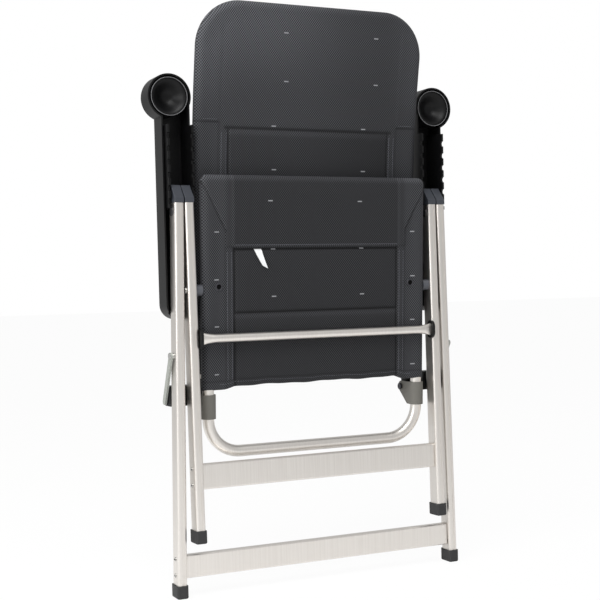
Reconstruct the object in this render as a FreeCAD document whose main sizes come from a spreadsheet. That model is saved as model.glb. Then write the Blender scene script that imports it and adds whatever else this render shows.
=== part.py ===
# Folding camp chair, modelled folded flat and standing on its rear feet.
#
# Frame: +Z up, X across the chair, -Y towards its front. The origin lies on the
# ground under the middle of the folded chair. "left" is -X and "right" is +X.
# Pieces are drawn with Y = 0 in the plane of the rear legs and carried back by
# frame_shift at the end. Millimetres.
#
# Each side has a long rear leg and a short front leg that share an apex pivot under
# the armrest. The seat hangs on the front legs, its rear is carried by two links on
# the rear legs, and the backrest turns on the seat's rear hinge. The armrests hinge
# on the backrest and rest on the apex pivots.
import FreeCAD, Part
import Sketcher
import math
import os
import re

DIMENSIONS = {
    # legs
    "leg_width": 18.0, "leg_depth": 32.0, "leg_wall": 1.6, "leg_corner": 5.0,
    "flute_width": 5.0, "flute_depth": 0.8, "tube_top": 725.0,
    "rear_top_x": 277.5, "rear_foot_x": 292.0, "front_leg_x": 257.5,
    "front_foot_y": -14.0, "front_foot_z": 100.0,
    # rubber feet and top caps
    "foot_height": 24.0, "foot_lip": 2.0, "foot_floor": 4.0, "foot_play": 0.5, "foot_round": 3.0,
    "cap_front": 8.5, "cap_back": 33.0, "cap_ridge": 5.0, "cap_round": 5.0,
    # cross bars
    "bar_depth": 16.0, "bar_wall": 1.6, "bar_corner": 3.0, "bar_gap": 0.4,
    "lower_bar_height": 43.0, "lower_bar_z": 57.0,
    "middle_bar_height": 47.0, "middle_bar_z": 222.0,
    "round_bar_radius": 8.0, "round_bar_y": -20.2, "round_bar_z": 476.0,
    "flare_height": 24.0, "flare_depth": 10.0, "flare_length": 26.0,
    "bushing_height": 35.0, "bushing_depth": 24.0, "bushing_thick": 5.0,
    "screw_radius": 3.6, "screw_head": 1.2, "screw_pitch": 30.0,
    # pivots: apex, seat on front leg, link on rear leg, rear hinge, armrest
    "apex_z": 710.0, "apex_radius": 5.0, "apex_head_radius": 8.0, "apex_head": 1.5,
    "seat_pivot_y": -3.4, "seat_pivot_z": 565.0, "seat_bolt_radius": 4.0,
    "link_pivot_z": 446.0, "hinge_y": 41.0, "hinge_z": 360.0, "shaft_radius": 5.0,
    "arm_pivot_y": 34.8, "arm_pivot_z": 522.0, "arm_pin_radius": 5.0,
    "arm_pin_shoulder": 14.0, "arm_pin_shoulder_length": 4.8,
    "frame_shift": 9.0, "running_play": 0.06, "drill_start": -400.0, "drill_length": 800.0,
    "bolt_nut_radius": 6.4, "bolt_nut": 1.6, "head_gap": 0.3,
    # seat frame, in the seat's own plane with its origin on the seat pivot
    "seat_lean": 3.0, "tube_x": 224.0, "tube_radius": 11.0, "tube_wall": 1.5,
    "seat_front_reach": 200.0, "seat_rear_reach": 305.0,
    "seat_front_corner": 40.0, "seat_rear_corner": 64.0,
    "seat_sling_rear": -187.0, "seat_sling_front": 186.0, "sling_thick": 12.0,
    "sling_clip_front": 24.0, "sling_clip_rear": 32.0, "sling_clip_back": 54.0,
    "sling_half_width": 211.0,
    "spacer_radius": 10.5, "spacer_wide": 5.0,
    "eyelet_radius": 7.5, "eyelet_hole": 4.6, "eyelet_thick": 1.4, "eyelet_x": 204.0, "eyelet_rise": 6.0,
    "tag_width": 15.0, "tag_height": 34.0, "tag_thick": 0.8, "tag_x": -125.0, "tag_rise": 59.0,
    # rear hinge brackets
    "bracket_radius": 14.5, "bracket_length": 45.0, "bracket_drop": -217.3, "cheek_thick": 3.6,
    "cheek_round": 11.0, "sleeve_play": 0.1,
    # rear hinge shafts
    "shaft_inner_x": 207.0, "shaft_outer_x": 294.3, "shaft_head_radius": 6.5, "shaft_head": 2.0,
    "collar_radius": 8.0, "collar_outer_x": 249.0,
    "block_outer_x": 293.6, "block_front": 23.0, "block_rear": 9.0, "block_rise": 29.0, "block_drop": 8.5,
    "block_corner": 3.0,
    # backrest frame
    "back_lean": 2.2, "back_straight": 372.0, "back_bend_radius": 1500.0, "back_bend": 8.8,
    "back_upper": 52.0, "back_corner": 74.0, "back_start": 16.0,
    "back_sling_start": 46.0,
    "end_radius": 12.6, "end_length": 40.0, "end_eye": 11.0, "end_eye_width": 18.0, "end_socket": 13.0,
    # armrests
    "arm_inner_x": 242.6, "arm_outer_x": 298.0, "arm_rim_y": 12.0, "arm_back_y": 57.0, "arm_skin": 3.0,
    "arm_rear_z": 540.0, "arm_leg_gap_x": 268.0, "arm_leg_gap_width": 26.0,
    "arm_leg_gap_deep": 7.0, "arm_leg_gap_reach": 40.0, "disc_x": 281.0, "disc_z": 921.0, "disc_radius": 41.5,
    "disc_rib_radius": 35.5, "disc_rib": 1.6, "arm_edge_round": 4.5,
    "rack_front_y": -5.0, "rack_low_z": 716.0, "rack_high_z": 868.0, "rack_thick": 4.0,
    "rack_outer_x": 288.9, "tooth_pitch": 24.0, "tooth_radius": 5.4,
    "web_pitch": 30.0, "web_thick": 1.6, "boss_radius": 9.0, "boss_length": 14.0,
    # links
    "link_x": 294.9, "link_thick": 4.0, "link_width": 13.0, "rivet_radius": 4.0, "rivet_head_radius": 5.6,
    "rivet_head": 1.6,
}

doc = FreeCAD.newDocument("FoldingChair")
sheet = doc.addObject("Spreadsheet::Sheet", "Dimensions")
for row, (alias, number) in enumerate(DIMENSIONS.items(), start=1):
    sheet.set("A%d" % row, alias)
    sheet.set("B%d" % row, str(number))
    sheet.setAlias("B%d" % row, alias)
doc.recompute()

SIDES = (("left", -1), ("right", 1))
X_AXIS = FreeCAD.Vector(1, 0, 0)
Y_AXIS = FreeCAD.Vector(0, 1, 0)
Z_AXIS = FreeCAD.Vector(0, 0, 1)
nodes = []


def dim(alias):
    """A driving dimension, read from the sheet."""
    return float(sheet.get(alias))


def formula(text):
    """Turn the aliases in an expression into references to the sheet."""
    return re.sub(r"[a-z][a-z_]+", lambda word: qualified(word.group()), text)


def qualified(word):
    return "Dimensions." + word if word in DIMENSIONS else word


def bind(item, **expressions):
    for name, text in expressions.items():
        item.setExpression(name, formula(text))


def place(item, point, axis=Z_AXIS, degrees=0.0):
    item.Placement = FreeCAD.Placement(FreeCAD.Vector(*point), FreeCAD.Rotation(axis, degrees))


def keep(item, label):
    """Register a finished sub-part under its node name."""
    item.Label = label
    nodes.append(item)
    return item


# ---- sketch-based pieces -----------------------------------------------------------

def new_body(name):
    return doc.addObject("PartDesign::Body", name)


def new_sketch(body, role):
    """A sketch on one of the body's own origin planes."""
    plane = [item for item in body.Origin.OriginFeatures if item.Role == role][0]
    sketch = body.newObject("Sketcher::SketchObject", body.Name + "_sketch")
    sketch.AttachmentSupport = [(plane, "")]
    sketch.MapMode = "FlatFace"
    return sketch


def pin_point(sketch, curve, which, across, up):
    """Fix a curve's point at the given distances from the sketch's origin."""
    for kind, text in (("DistanceX", across), ("DistanceY", up)):
        index = sketch.addConstraint(Sketcher.Constraint(kind, -1, 1, curve, which, 1.0))
        sketch.setExpression("Constraints[%d]" % index, formula(text))


def draw_polygon(sketch, corners):
    """A closed polygon whose corners are pairs of expressions."""
    first = sketch.GeometryCount
    count = len(corners)
    turns = [2 * math.pi * step / count for step in range(count)]
    points = [FreeCAD.Vector(math.cos(turn), math.sin(turn), 0) for turn in turns]
    for step in range(count):
        sketch.addGeometry(Part.LineSegment(points[step], points[(step + 1) % count]), False)
    for step, (across, up) in enumerate(corners):
        follower = first + (step + 1) % count
        sketch.addConstraint(Sketcher.Constraint("Coincident", first + step, 2, follower, 1))
        pin_point(sketch, first + step, 1, across, up)


def draw_rectangle(sketch, width, height, middle="0", level="0"):
    left, right = "%s-(%s)/2" % (middle, width), "%s+(%s)/2" % (middle, width)
    low, high = "%s-(%s)/2" % (level, height), "%s+(%s)/2" % (level, height)
    draw_polygon(sketch, [(left, low), (right, low), (right, high), (left, high)])


def draw_circle(sketch, radius, across="0", up="0"):
    curve = sketch.addGeometry(Part.Circle(FreeCAD.Vector(0, 0, 0), Z_AXIS, 1.0), False)
    pin_point(sketch, curve, 3, across, up)
    index = sketch.addConstraint(Sketcher.Constraint("Radius", curve, 1.0))
    sketch.setExpression("Constraints[%d]" % index, formula(radius))


def pad(body, sketch, length, both_ways=False):
    feature = body.newObject("PartDesign::Pad", body.Name + "_pad")
    feature.Profile = sketch
    feature.Midplane = both_ways
    bind(feature, Length=length)
    doc.recompute()
    return feature


def pocket(body, sketch, length, both_ways=False, backwards=True):
    """Cut a pocket and make sure that it really removes material."""
    before = body.Shape.Volume
    feature = body.newObject("PartDesign::Pocket", body.Name + "_pocket")
    feature.Profile = sketch
    feature.Midplane = both_ways
    feature.Reversed = backwards
    bind(feature, Length=length)
    doc.recompute()
    if body.Shape.Volume > before - 1.0:
        raise RuntimeError("pocket in %s cuts nothing" % body.Name)
    return feature


def round_edges(body, radius, wanted):
    """Fillet the edges of the body's tip that the wanted() test picks."""
    tip = body.Tip
    names = ["Edge%d" % number for number, edge in enumerate(tip.Shape.Edges, start=1) if wanted(edge)]
    feature = body.newObject("PartDesign::Fillet", body.Name + "_fillet")
    feature.Base = (tip, names)
    bind(feature, Radius=radius)
    doc.recompute()
    return feature


def runs_along(edge, axis):
    """True for a straight edge parallel to the axis."""
    first, last = edge.Vertexes[0].Point, edge.Vertexes[-1].Point
    return edge.Length > 1e-6 and abs(abs((last - first).dot(axis)) - edge.Length) < 1e-6


# ---- primitives ---------------------------------------------------------------------

def block(name, low, high):
    """A box between two corners given as expressions."""
    item = doc.addObject("Part::Box", name)
    sizes = dict(zip(("Length", "Width", "Height"), zip(low, high)))
    for prop, (start, end) in sizes.items():
        item.setExpression(prop, formula("(%s)-(%s)" % (end, start)))
    for letter, start in zip("xyz", low):
        item.setExpression("Placement.Base." + letter, formula(start))
    return item


def rod(name, radius, start, length, along):
    """A cylinder from a start point, along one of the axes."""
    turns = {"x": (Y_AXIS, 90.0), "y": (X_AXIS, -90.0), "z": (Z_AXIS, 0.0)}
    item = doc.addObject("Part::Cylinder", name)
    item.Placement = FreeCAD.Placement(FreeCAD.Vector(), FreeCAD.Rotation(*turns[along]))
    bind(item, Radius=radius, Height=length)
    for letter, text in zip("xyz", start):
        item.setExpression("Placement.Base." + letter, formula(text))
    return item


def join(name, items):
    item = doc.addObject("Part::MultiFuse", name)
    item.Shapes = items
    item.Refine = True
    return item


def cut(name, base, tool):
    item = doc.addObject("Part::Cut", name)
    item.Base = base
    item.Tool = tool
    item.Refine = True
    return item


def group(name, items):
    """Separate solids kept together as one sub-part."""
    item = doc.addObject("Part::Compound", name)
    item.Links = items
    return item


def mirrored(name, source, side):
    """The source piece on its own side: a piece is drawn at +X and mirrored to -X."""
    if side > 0:
        return source
    item = doc.addObject("Part::Mirroring", name)
    item.Source = source
    item.Normal = X_AXIS
    return item


def span(side, start, length):
    """Start of a rod along X that covers the same stretch of either side."""
    return start if side > 0 else "-(%s)-(%s)" % (start, length)


# ---- legs, caps and feet --------------------------------------------------------------

splay = math.atan2(dim("rear_foot_x") - dim("rear_top_x"), dim("tube_top"))
lean = math.atan2(-dim("front_foot_y"), dim("apex_z") - dim("front_foot_z"))


def rear_leg_x(height):
    """Distance of a rear leg's centre line from the middle plane at a height."""
    return dim("rear_foot_x") - height * math.tan(splay)


def front_leg_y(height):
    """Y of a front leg's centre line at a height."""
    return -(dim("apex_z") - height) * math.tan(lean)


def leg_tube(name, length):
    """A flattened tube with big corners and a shallow flute down its front and back."""
    body = new_body(name)
    outline = new_sketch(body, "XY_Plane")
    draw_rectangle(outline, "leg_width", "leg_depth")
    pad(body, outline, length)
    round_edges(body, "leg_corner", lambda edge: runs_along(edge, Z_AXIS))
    hollow = new_sketch(body, "XY_Plane")
    draw_rectangle(hollow, "leg_width-2*leg_wall-1", "leg_depth-2*leg_wall-2")
    pocket(body, hollow, length)
    flutes = new_sketch(body, "XY_Plane")
    for level in ("-leg_depth/2", "leg_depth/2"):
        draw_rectangle(flutes, "flute_width", "2*flute_depth", level=level)
    pocket(body, flutes, length)
    return body


def leg_cap(name):
    """A plastic plug that rises in a slope from the front to the back of the tube."""
    body = new_body(name)
    profile = new_sketch(body, "YZ_Plane")
    draw_polygon(profile, [("-leg_depth/2", "0"), ("leg_depth/2", "0"),
                           ("leg_depth/2", "cap_back-cap_round"), ("leg_depth/2-cap_round/2", "cap_back-1"),
                           ("leg_depth/2-1.5*cap_round", "cap_back"), ("cap_ridge", "cap_back"),
                           ("-leg_depth/2", "cap_front")])
    pad(body, profile, "leg_width", both_ways=True)
    level = dim("cap_front") / 2
    round_edges(body, "cap_round/5", lambda edge: edge.CenterOfMass.z > level and runs_off_x(edge))
    return body


def runs_off_x(edge):
    return not runs_along(edge, X_AXIS)


def leg_foot(name):
    """A rubber shoe with a socket that takes the end of the tube."""
    body = new_body(name)
    outline = new_sketch(body, "XY_Plane")
    draw_rectangle(outline, "leg_width+2*foot_lip", "leg_depth+2*foot_lip")
    pad(body, outline, "foot_height")
    round_edges(body, "leg_corner", lambda edge: runs_along(edge, Z_AXIS))
    socket = new_sketch(body, "XY_Plane")
    socket.AttachmentOffset = FreeCAD.Placement(FreeCAD.Vector(0, 0, dim("foot_floor")), FreeCAD.Rotation())
    draw_rectangle(socket, "leg_width+2*foot_play", "leg_depth+2*foot_play")
    pocket(body, socket, "foot_height")
    round_edges(body, "foot_round", lambda edge: edge.BoundBox.ZMax < 0.01)
    return body


for word, side in SIDES:
    seat_of_tube = dim("foot_floor") + 0.2
    turn = -side * math.degrees(splay)
    leg = leg_tube("rear_leg_" + word, "(tube_top-foot_floor)/cos(1.15)")
    place(leg, (side * rear_leg_x(seat_of_tube), 0, seat_of_tube), Y_AXIS, turn)
    keep(leg, "rear_leg_" + word)
    tip = (side * rear_leg_x(dim("tube_top") + 0.6), 0, dim("tube_top") + 0.6)
    cap = leg_cap("rear_cap_" + word)
    place(cap, tip, Y_AXIS, turn)
    keep(cap, "rear_cap_" + word)
    foot = leg_foot("rear_foot_" + word)
    place(foot, (side * rear_leg_x(dim("foot_height") / 2), 0, 0))
    keep(foot, "rear_foot_" + word)

for word, side in SIDES:
    across = side * dim("front_leg_x")
    turn = -math.degrees(lean)
    base = dim("front_foot_z")
    start = base + dim("foot_floor") + 0.2
    leg = leg_tube("front_leg_" + word, "(tube_top-front_foot_z-foot_floor)/cos(1.31)")
    place(leg, (across, front_leg_y(start), start), X_AXIS, turn)
    keep(leg, "front_leg_" + word)
    cap = leg_cap("front_cap_" + word)
    place(cap, (across, front_leg_y(dim("tube_top") + 0.6), dim("tube_top") + 0.6), X_AXIS, turn)
    keep(cap, "front_cap_" + word)
    foot = leg_foot("front_foot_" + word)
    place(foot, (across, front_leg_y(base), base), X_AXIS, turn)
    keep(foot, "front_foot_" + word)


# ---- cross bars and their screws --------------------------------------------------------

def flat_bar(name, height, half_span):
    """A hollow flat bar that butts against the inner faces of its two legs."""
    body = new_body(name)
    outline = new_sketch(body, "YZ_Plane")
    draw_rectangle(outline, "bar_depth", height)
    pad(body, outline, "2*(%s)" % half_span, both_ways=True)
    round_edges(body, "bar_corner", lambda edge: runs_along(edge, X_AXIS))
    hollow = new_sketch(body, "YZ_Plane")
    draw_rectangle(hollow, "bar_depth-2*bar_wall-1", "(%s)-2*bar_wall-1" % height)
    pocket(body, hollow, "2*(%s)+2" % half_span, both_ways=True)
    return body


def screw_pair(name, face_x, lean_y, level):
    """Domed screw heads on the outer faces of both legs, two on each."""
    heads = []
    for word, side in SIDES:
        for row, offset in (("low", -0.5), ("high", 0.5)):
            height = level + offset * dim("screw_pitch")
            head = rod("%s_%s_%s" % (name, word, row), "screw_radius",
                       (span(side, str(face_x(height)), "screw_head"), str(lean_y(height)), str(height)),
                       "screw_head", "x")
            heads.append(head)
    return group(name, heads)


def rear_outer_face(height):
    return rear_leg_x(height) + dim("leg_width") / 2 / math.cos(splay) + 0.15


def front_outer_face(height):
    return dim("front_leg_x") + dim("leg_width") / 2 + 0.1


lower_top = dim("lower_bar_z") + dim("lower_bar_height") / 2
lower_half_span = rear_leg_x(lower_top) - dim("leg_width") / 2 / math.cos(splay) - dim("bar_gap")
lower_bar = flat_bar("rear_lower_bar", "lower_bar_height", str(lower_half_span))
place(lower_bar, (0, 0, dim("lower_bar_z")))
keep(lower_bar, "rear_lower_bar")
keep(screw_pair("rear_bar_screws", rear_outer_face, lambda height: 0.0, dim("lower_bar_z")), "rear_bar_screws")

middle_bar = flat_bar("front_middle_bar", "middle_bar_height", "front_leg_x-leg_width/2-bar_gap/2")
place(middle_bar, (0, front_leg_y(dim("middle_bar_z")), dim("middle_bar_z")), X_AXIS, -math.degrees(lean))
keep(middle_bar, "front_middle_bar")
keep(screw_pair("front_bar_screws", front_outer_face, front_leg_y, dim("middle_bar_z")), "front_bar_screws")


def oval_section(x, height, depth):
    """An elliptical wire across X."""
    long_half, short_half = max(height, depth) / 2, min(height, depth) / 2
    ellipse = Part.Ellipse(FreeCAD.Vector(0, 0, 0), long_half, short_half)
    wire = Part.Wire([ellipse.toShape()])
    wire.rotate(FreeCAD.Vector(), Y_AXIS, 90)
    wire.translate(FreeCAD.Vector(x, 0, 0))
    return wire


def round_bar():
    """A round tube whose ends are pressed flat and spread into fans."""
    end = dim("front_leg_x") - dim("leg_width") / 2 - dim("bushing_thick") - 0.1
    neck = end - dim("flare_length")
    round_size = 2 * dim("round_bar_radius")
    half = [(neck, round_size, round_size),
            (neck + dim("flare_length") * 0.5, round_size + 2.5, round_size - 2.5),
            (end, dim("flare_height"), dim("flare_depth"))]
    stations = [(-x, height, depth) for x, height, depth in half[::-1]] + half
    return Part.makeLoft([oval_section(*station) for station in stations], True, True)


bar = doc.addObject("Part::Feature", "front_round_bar")
bar.Shape = round_bar()
place(bar, (0, dim("round_bar_y"), dim("round_bar_z")))
keep(bar, "front_round_bar")


def bushing(name):
    """An oval plastic seat for the fanned end, with its face across X."""
    body = new_body(name)
    outline = new_sketch(body, "YZ_Plane")
    draw_rectangle(outline, "bushing_depth", "bushing_height-bushing_depth")
    pad(body, outline, "bushing_thick", both_ways=True)
    for level in ("(bushing_height-bushing_depth)/2", "-(bushing_height-bushing_depth)/2"):
        end = new_sketch(body, "YZ_Plane")
        draw_circle(end, "bushing_depth/2", "0", level)
        pad(body, end, "bushing_thick", both_ways=True)
    return body


for word, side in SIDES:
    item = bushing("round_bar_bushing_" + word)
    inner_face = dim("front_leg_x") - dim("leg_width") / 2
    place(item, (side * (inner_face - dim("bushing_thick") / 2), dim("round_bar_y"), dim("round_bar_z")))
    keep(item, "round_bar_bushing_" + word)


# ---- pivots in the legs --------------------------------------------------------------------

def bore(name, leg, radius, y, z):
    """A leg with a cross hole, kept under the leg's own name."""
    label = leg.Label
    hole = rod(name, radius, ("drill_start", y, z), "drill_length", "x")
    drilled = cut(label + "_drilled", leg, hole)
    nodes[nodes.index(leg)] = drilled
    leg.Label = label + "_tube"
    drilled.Label = label
    return drilled


def node(label):
    return [item for item in nodes if item.Label == label][0]


for word, side in SIDES:
    bore("rear_apex_hole_" + word, node("rear_leg_" + word), "apex_radius+running_play", "0", "apex_z")
    bore("front_apex_hole_" + word, node("front_leg_" + word), "apex_radius+running_play", "0", "apex_z")
    bore("seat_hole_" + word, node("front_leg_" + word), "seat_bolt_radius+running_play",
         "seat_pivot_y", "seat_pivot_z")
    bore("link_hole_" + word, node("rear_leg_" + word), "rivet_radius+running_play", "0", "link_pivot_z")

    inner_face = "front_leg_x-leg_width/2"
    outer_face = str(rear_outer_face(dim("apex_z")))
    shank_length = "%s-(%s)+2*head_gap" % (outer_face, inner_face)
    shank = rod("apex_shank_" + word, "apex_radius",
                (span(side, inner_face + "-head_gap", shank_length), "0", "apex_z"), shank_length, "x")
    inner_head = rod("apex_inner_head_" + word, "apex_head_radius",
                     (span(side, inner_face + "-head_gap-apex_head", "apex_head"), "0", "apex_z"),
                     "apex_head", "x")
    outer_head = rod("apex_outer_head_" + word, "apex_head_radius",
                     (span(side, outer_face + "+head_gap", "apex_head"), "0", "apex_z"), "apex_head", "x")
    keep(join("apex_pin_" + word, [shank, inner_head, outer_head]), "apex_pin_" + word)

    link_face = str(rear_outer_face(dim("link_pivot_z")))
    shank_start = link_face + "-leg_width-2*head_gap"
    shank_length = "link_x+link_thick+head_gap-(%s)" % shank_start
    shank = rod("rivet_shank_" + word, "rivet_radius",
                (span(side, shank_start, shank_length), "0", "link_pivot_z"), shank_length, "x")
    head = rod("rivet_head_" + word, "rivet_head_radius",
               (span(side, "link_x+link_thick+0.2", "rivet_head"), "0", "link_pivot_z"), "rivet_head", "x")
    washer_length = "link_x-0.2-(%s)" % link_face
    washer = rod("rivet_washer_" + word, "rivet_head_radius",
                 (span(side, link_face, washer_length), "0", "link_pivot_z"), washer_length, "x")
    keep(join("link_rivet_" + word, [shank, head, washer]), "link_rivet_" + word)


# ---- seat frame, brackets and sling -----------------------------------------------------------

seat_origin = (0, dim("seat_pivot_y"), dim("seat_pivot_z"))


def place_on_seat(item):
    place(item, seat_origin, X_AXIS, dim("seat_lean"))


def seat_point(y, z):
    """A point in the YZ plane, from chair coordinates to the seat's own."""
    turn = math.radians(dim("seat_lean"))
    y_off, z_off = y - dim("seat_pivot_y"), z - dim("seat_pivot_z")
    return y_off * math.cos(turn) + z_off * math.sin(turn), z_off * math.cos(turn) - y_off * math.sin(turn)


def corner_arc(centre, radius, first_turn):
    """A quarter circle in the XZ plane that starts at a turn given in degrees."""
    def at(turn):
        angle = math.radians(turn)
        return FreeCAD.Vector(centre[0] + radius * math.cos(angle), 0, centre[1] + radius * math.sin(angle))
    return Part.Arc(at(first_turn), at(first_turn + 45), at(first_turn + 90)).toShape()


def seat_loop():
    """The seat's closed tube: a rounded rectangle, wide round corners at the rear."""
    half, front, rear = dim("tube_x"), dim("seat_front_reach"), -dim("seat_rear_reach")
    near, far = dim("seat_front_corner"), dim("seat_rear_corner")

    def line(x1, z1, x2, z2):
        return Part.makeLine(FreeCAD.Vector(x1, 0, z1), FreeCAD.Vector(x2, 0, z2))

    path = Part.Wire([
        line(0, rear, half - far, rear), corner_arc((half - far, rear + far), far, 270),
        line(half, rear + far, half, front - near), corner_arc((half - near, front - near), near, 0),
        line(half - near, front, near - half, front), corner_arc((near - half, front - near), near, 90),
        line(-half, front - near, -half, rear + far), corner_arc((far - half, rear + far), far, 180),
        line(far - half, rear, 0, rear)])
    return swept_tube(path, FreeCAD.Vector(0, 0, rear), X_AXIS)


def swept_tube(path, start, direction):
    """A hollow round tube along a path."""
    walls = []
    for radius in (dim("tube_radius"), dim("tube_radius") - dim("tube_wall")):
        ring = Part.Wire([Part.makeCircle(radius, start, direction)])
        walls.append(path.makePipeShell([ring], True, False, 2))
    return walls[0].cut(walls[1])


def drill(shape, radius, x, y, z, length):
    return shape.cut(Part.makeCylinder(radius, length, FreeCAD.Vector(x, y, z), X_AXIS))


frame = doc.addObject("Part::Feature", "seat_frame")
loop = seat_loop()
reach = dim("tube_x") + 2 * dim("tube_radius")
frame.Shape = drill(loop, dim("seat_bolt_radius") + 0.1, -reach, 0, 0, 2 * reach)
place_on_seat(frame)
keep(frame, "seat_frame")

hinge_in_seat = seat_point(dim("hinge_y"), dim("hinge_z"))


def hinge_bracket(name, side):
    """A sleeve round the seat tube with two cheeks that carry the hinge shaft."""
    y, z = hinge_in_seat
    low, high = "bracket_drop-bracket_length/2", "bracket_drop+bracket_length/2"
    sleeve = rod(name + "_sleeve", "bracket_radius", ("tube_x", "0", low), "bracket_length", "z")
    parts = [sleeve]
    for face, start in (("inner", "tube_x-bracket_radius"), ("outer", "tube_x+bracket_radius-cheek_thick")):
        body = new_body("%s_%s_cheek" % (name, face))
        profile = new_sketch(body, "YZ_Plane")
        draw_polygon(profile, [("0", low), ("bracket_radius*0.7", low),
                               ("%f+cheek_round*0.5" % y, "%f-cheek_round*0.87" % z),
                               ("%f" % y, "%f+cheek_round*0.99" % z), ("0", high)])
        pad(body, profile, "cheek_thick")
        body.setExpression("Placement.Base.x", formula(start))
        eye = rod("%s_%s_eye" % (name, face), "cheek_round", (start, str(y), str(z)), "cheek_thick", "x")
        parts += [body, eye]
    solid = join(name + "_solid", parts)
    tube_hole = rod(name + "_tube_hole", "tube_radius+sleeve_play", ("tube_x", "0", low + "-1"),
                    "bracket_length+2", "z")
    shaft_hole = rod(name + "_shaft_hole", "shaft_radius+running_play", ("tube_x-30", str(y), str(z)), "60", "x")
    bracket = cut(name + "_drilled", solid, join(name + "_holes", [tube_hole, shaft_hole]))
    return mirrored(name, bracket, side)


def at_seat(item):
    """Carry a piece drawn in the seat's own plane to its place on the chair."""
    holder = group(item.Name + "_on_seat", [item])
    place_on_seat(holder)
    return holder


for word, side in SIDES:
    keep(at_seat(hinge_bracket("bracket_" + word, side)), "seat_hinge_" + word)

    # spacer between the front leg and the seat tube, on the seat bolt
    gap_start = "tube_x+tube_radius+0.3"
    gap = "front_leg_x-leg_width/2-0.3-(%s)" % gap_start
    disc = rod("spacer_disc_" + word, "spacer_radius", (span(side, gap_start, gap), "0", "0"), gap, "x")
    hole = rod("spacer_hole_" + word, "seat_bolt_radius+running_play", ("drill_start", "0", "0"), "drill_length", "x")
    keep(at_seat(cut("spacer_" + word, disc, hole)), "seat_spacer_" + word)

    bolt_start = "tube_x-seat_bolt_radius"
    bolt_length = "front_leg_x+leg_width/2+bolt_nut-(%s)" % bolt_start
    shank = rod("seat_bolt_shank_" + word, "seat_bolt_radius",
                (span(side, bolt_start, bolt_length), "seat_pivot_y", "seat_pivot_z"), bolt_length, "x")
    nut = rod("seat_bolt_nut_" + word, "bolt_nut_radius",
              (span(side, "front_leg_x+leg_width/2+0.2", "bolt_nut"), "seat_pivot_y", "seat_pivot_z"),
              "bolt_nut", "x")
    keep(join("seat_bolt_" + word, [shank, nut]), "seat_bolt_" + word)

seat_sling = new_body("seat_sling")
panel = new_sketch(seat_sling, "XZ_Plane")
near, far = "seat_sling_front-sling_clip_front", "seat_sling_rear+sling_clip_rear"
draw_polygon(panel, [("sling_half_width", far), ("sling_half_width", near),
                     ("sling_half_width-sling_clip_front", "seat_sling_front"),
                     ("sling_clip_front-sling_half_width", "seat_sling_front"),
                     ("-sling_half_width", near), ("-sling_half_width", far),
                     ("sling_clip_rear-sling_half_width", "seat_sling_rear"),
                     ("sling_half_width-sling_clip_rear", "seat_sling_rear")])
pad(seat_sling, panel, "sling_thick", both_ways=True)
place_on_seat(seat_sling)
keep(seat_sling, "seat_sling")

rings = []
for word, side in SIDES:
    ring = rod("eyelet_ring_" + word, "eyelet_radius",
               ("%d*eyelet_x" % side, "-sling_thick/2-eyelet_thick-0.1", "eyelet_rise"), "eyelet_thick", "y")
    hole = rod("eyelet_hole_" + word, "eyelet_hole",
               ("%d*eyelet_x" % side, "-sling_thick/2-eyelet_thick-1", "eyelet_rise"), "eyelet_thick+2", "y")
    rings.append(cut("eyelet_" + word, ring, hole))
keep(at_seat(group("seat_eyelet_pair", rings)), "seat_eyelets")

tag = block("seat_tag", ("tag_x-tag_width/2", "-sling_thick/2-tag_thick-0.2", "tag_rise-tag_height/2"),
            ("tag_x+tag_width/2", "-sling_thick/2-0.2", "tag_rise+tag_height/2"))
keep(at_seat(tag), "seat_care_tag")


# ---- rear hinge: shafts, collars and blocks -------------------------------------------------

for word, side in SIDES:
    centre = ("hinge_y", "hinge_z")
    length = "shaft_outer_x-shaft_inner_x"
    shank = rod("shaft_shank_" + word, "shaft_radius", (span(side, "shaft_inner_x", length),) + centre, length, "x")
    head = rod("shaft_head_solid_" + word, "shaft_head_radius",
               (span(side, "shaft_inner_x-shaft_head", "shaft_head"),) + centre, "shaft_head", "x")
    keep(join("hinge_shaft_" + word, [shank, head]), "hinge_shaft_" + word)

    start = "tube_x+bracket_radius+0.3"
    length = "collar_outer_x-0.2-(%s)" % start
    ring = rod("collar_ring_" + word, "collar_radius", (span(side, start, length),) + centre, length, "x")
    hole = rod("collar_hole_" + word, "shaft_radius+0.02", ("drill_start",) + centre, "drill_length", "x")
    keep(cut("hinge_collar_" + word, ring, hole), "hinge_collar_" + word)

    body = new_body("hinge_block_solid_" + word)
    outline = new_sketch(body, "YZ_Plane")
    draw_rectangle(outline, "block_front+block_rear", "block_rise+block_drop",
                   "(block_rear-block_front)/2", "(block_rise-block_drop)/2")
    pad(body, outline, "block_outer_x-collar_outer_x")
    round_edges(body, "block_corner", lambda edge: runs_along(edge, X_AXIS))
    base_x = "collar_outer_x" if side > 0 else "-block_outer_x"
    body.setExpression("Placement.Base.x", formula(base_x))
    bind(body, **{"Placement.Base.y": "hinge_y", "Placement.Base.z": "hinge_z"})
    hole = rod("block_hole_" + word, "shaft_radius+0.02", ("drill_start",) + centre, "drill_length", "x")
    keep(cut("hinge_block_" + word, body, hole), "hinge_block_" + word)


# ---- backrest ------------------------------------------------------------------------------------

def back_path():
    """Points up one side of the backrest in its side view: a straight run, then a
    gentle bend forward, then a short straight run to the top corner."""
    start = FreeCAD.Vector(0, 0, dim("back_start"))
    bend_start = FreeCAD.Vector(0, 0, dim("back_straight"))
    radius, angle = dim("back_bend_radius"), math.radians(dim("back_bend"))

    def on_bend(turn):
        return FreeCAD.Vector(0, -radius * (1 - math.cos(turn)), dim("back_straight") + radius * math.sin(turn))

    upward = FreeCAD.Vector(0, -math.sin(angle), math.cos(angle))
    return start, bend_start, on_bend(angle / 2), on_bend(angle), upward


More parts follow.
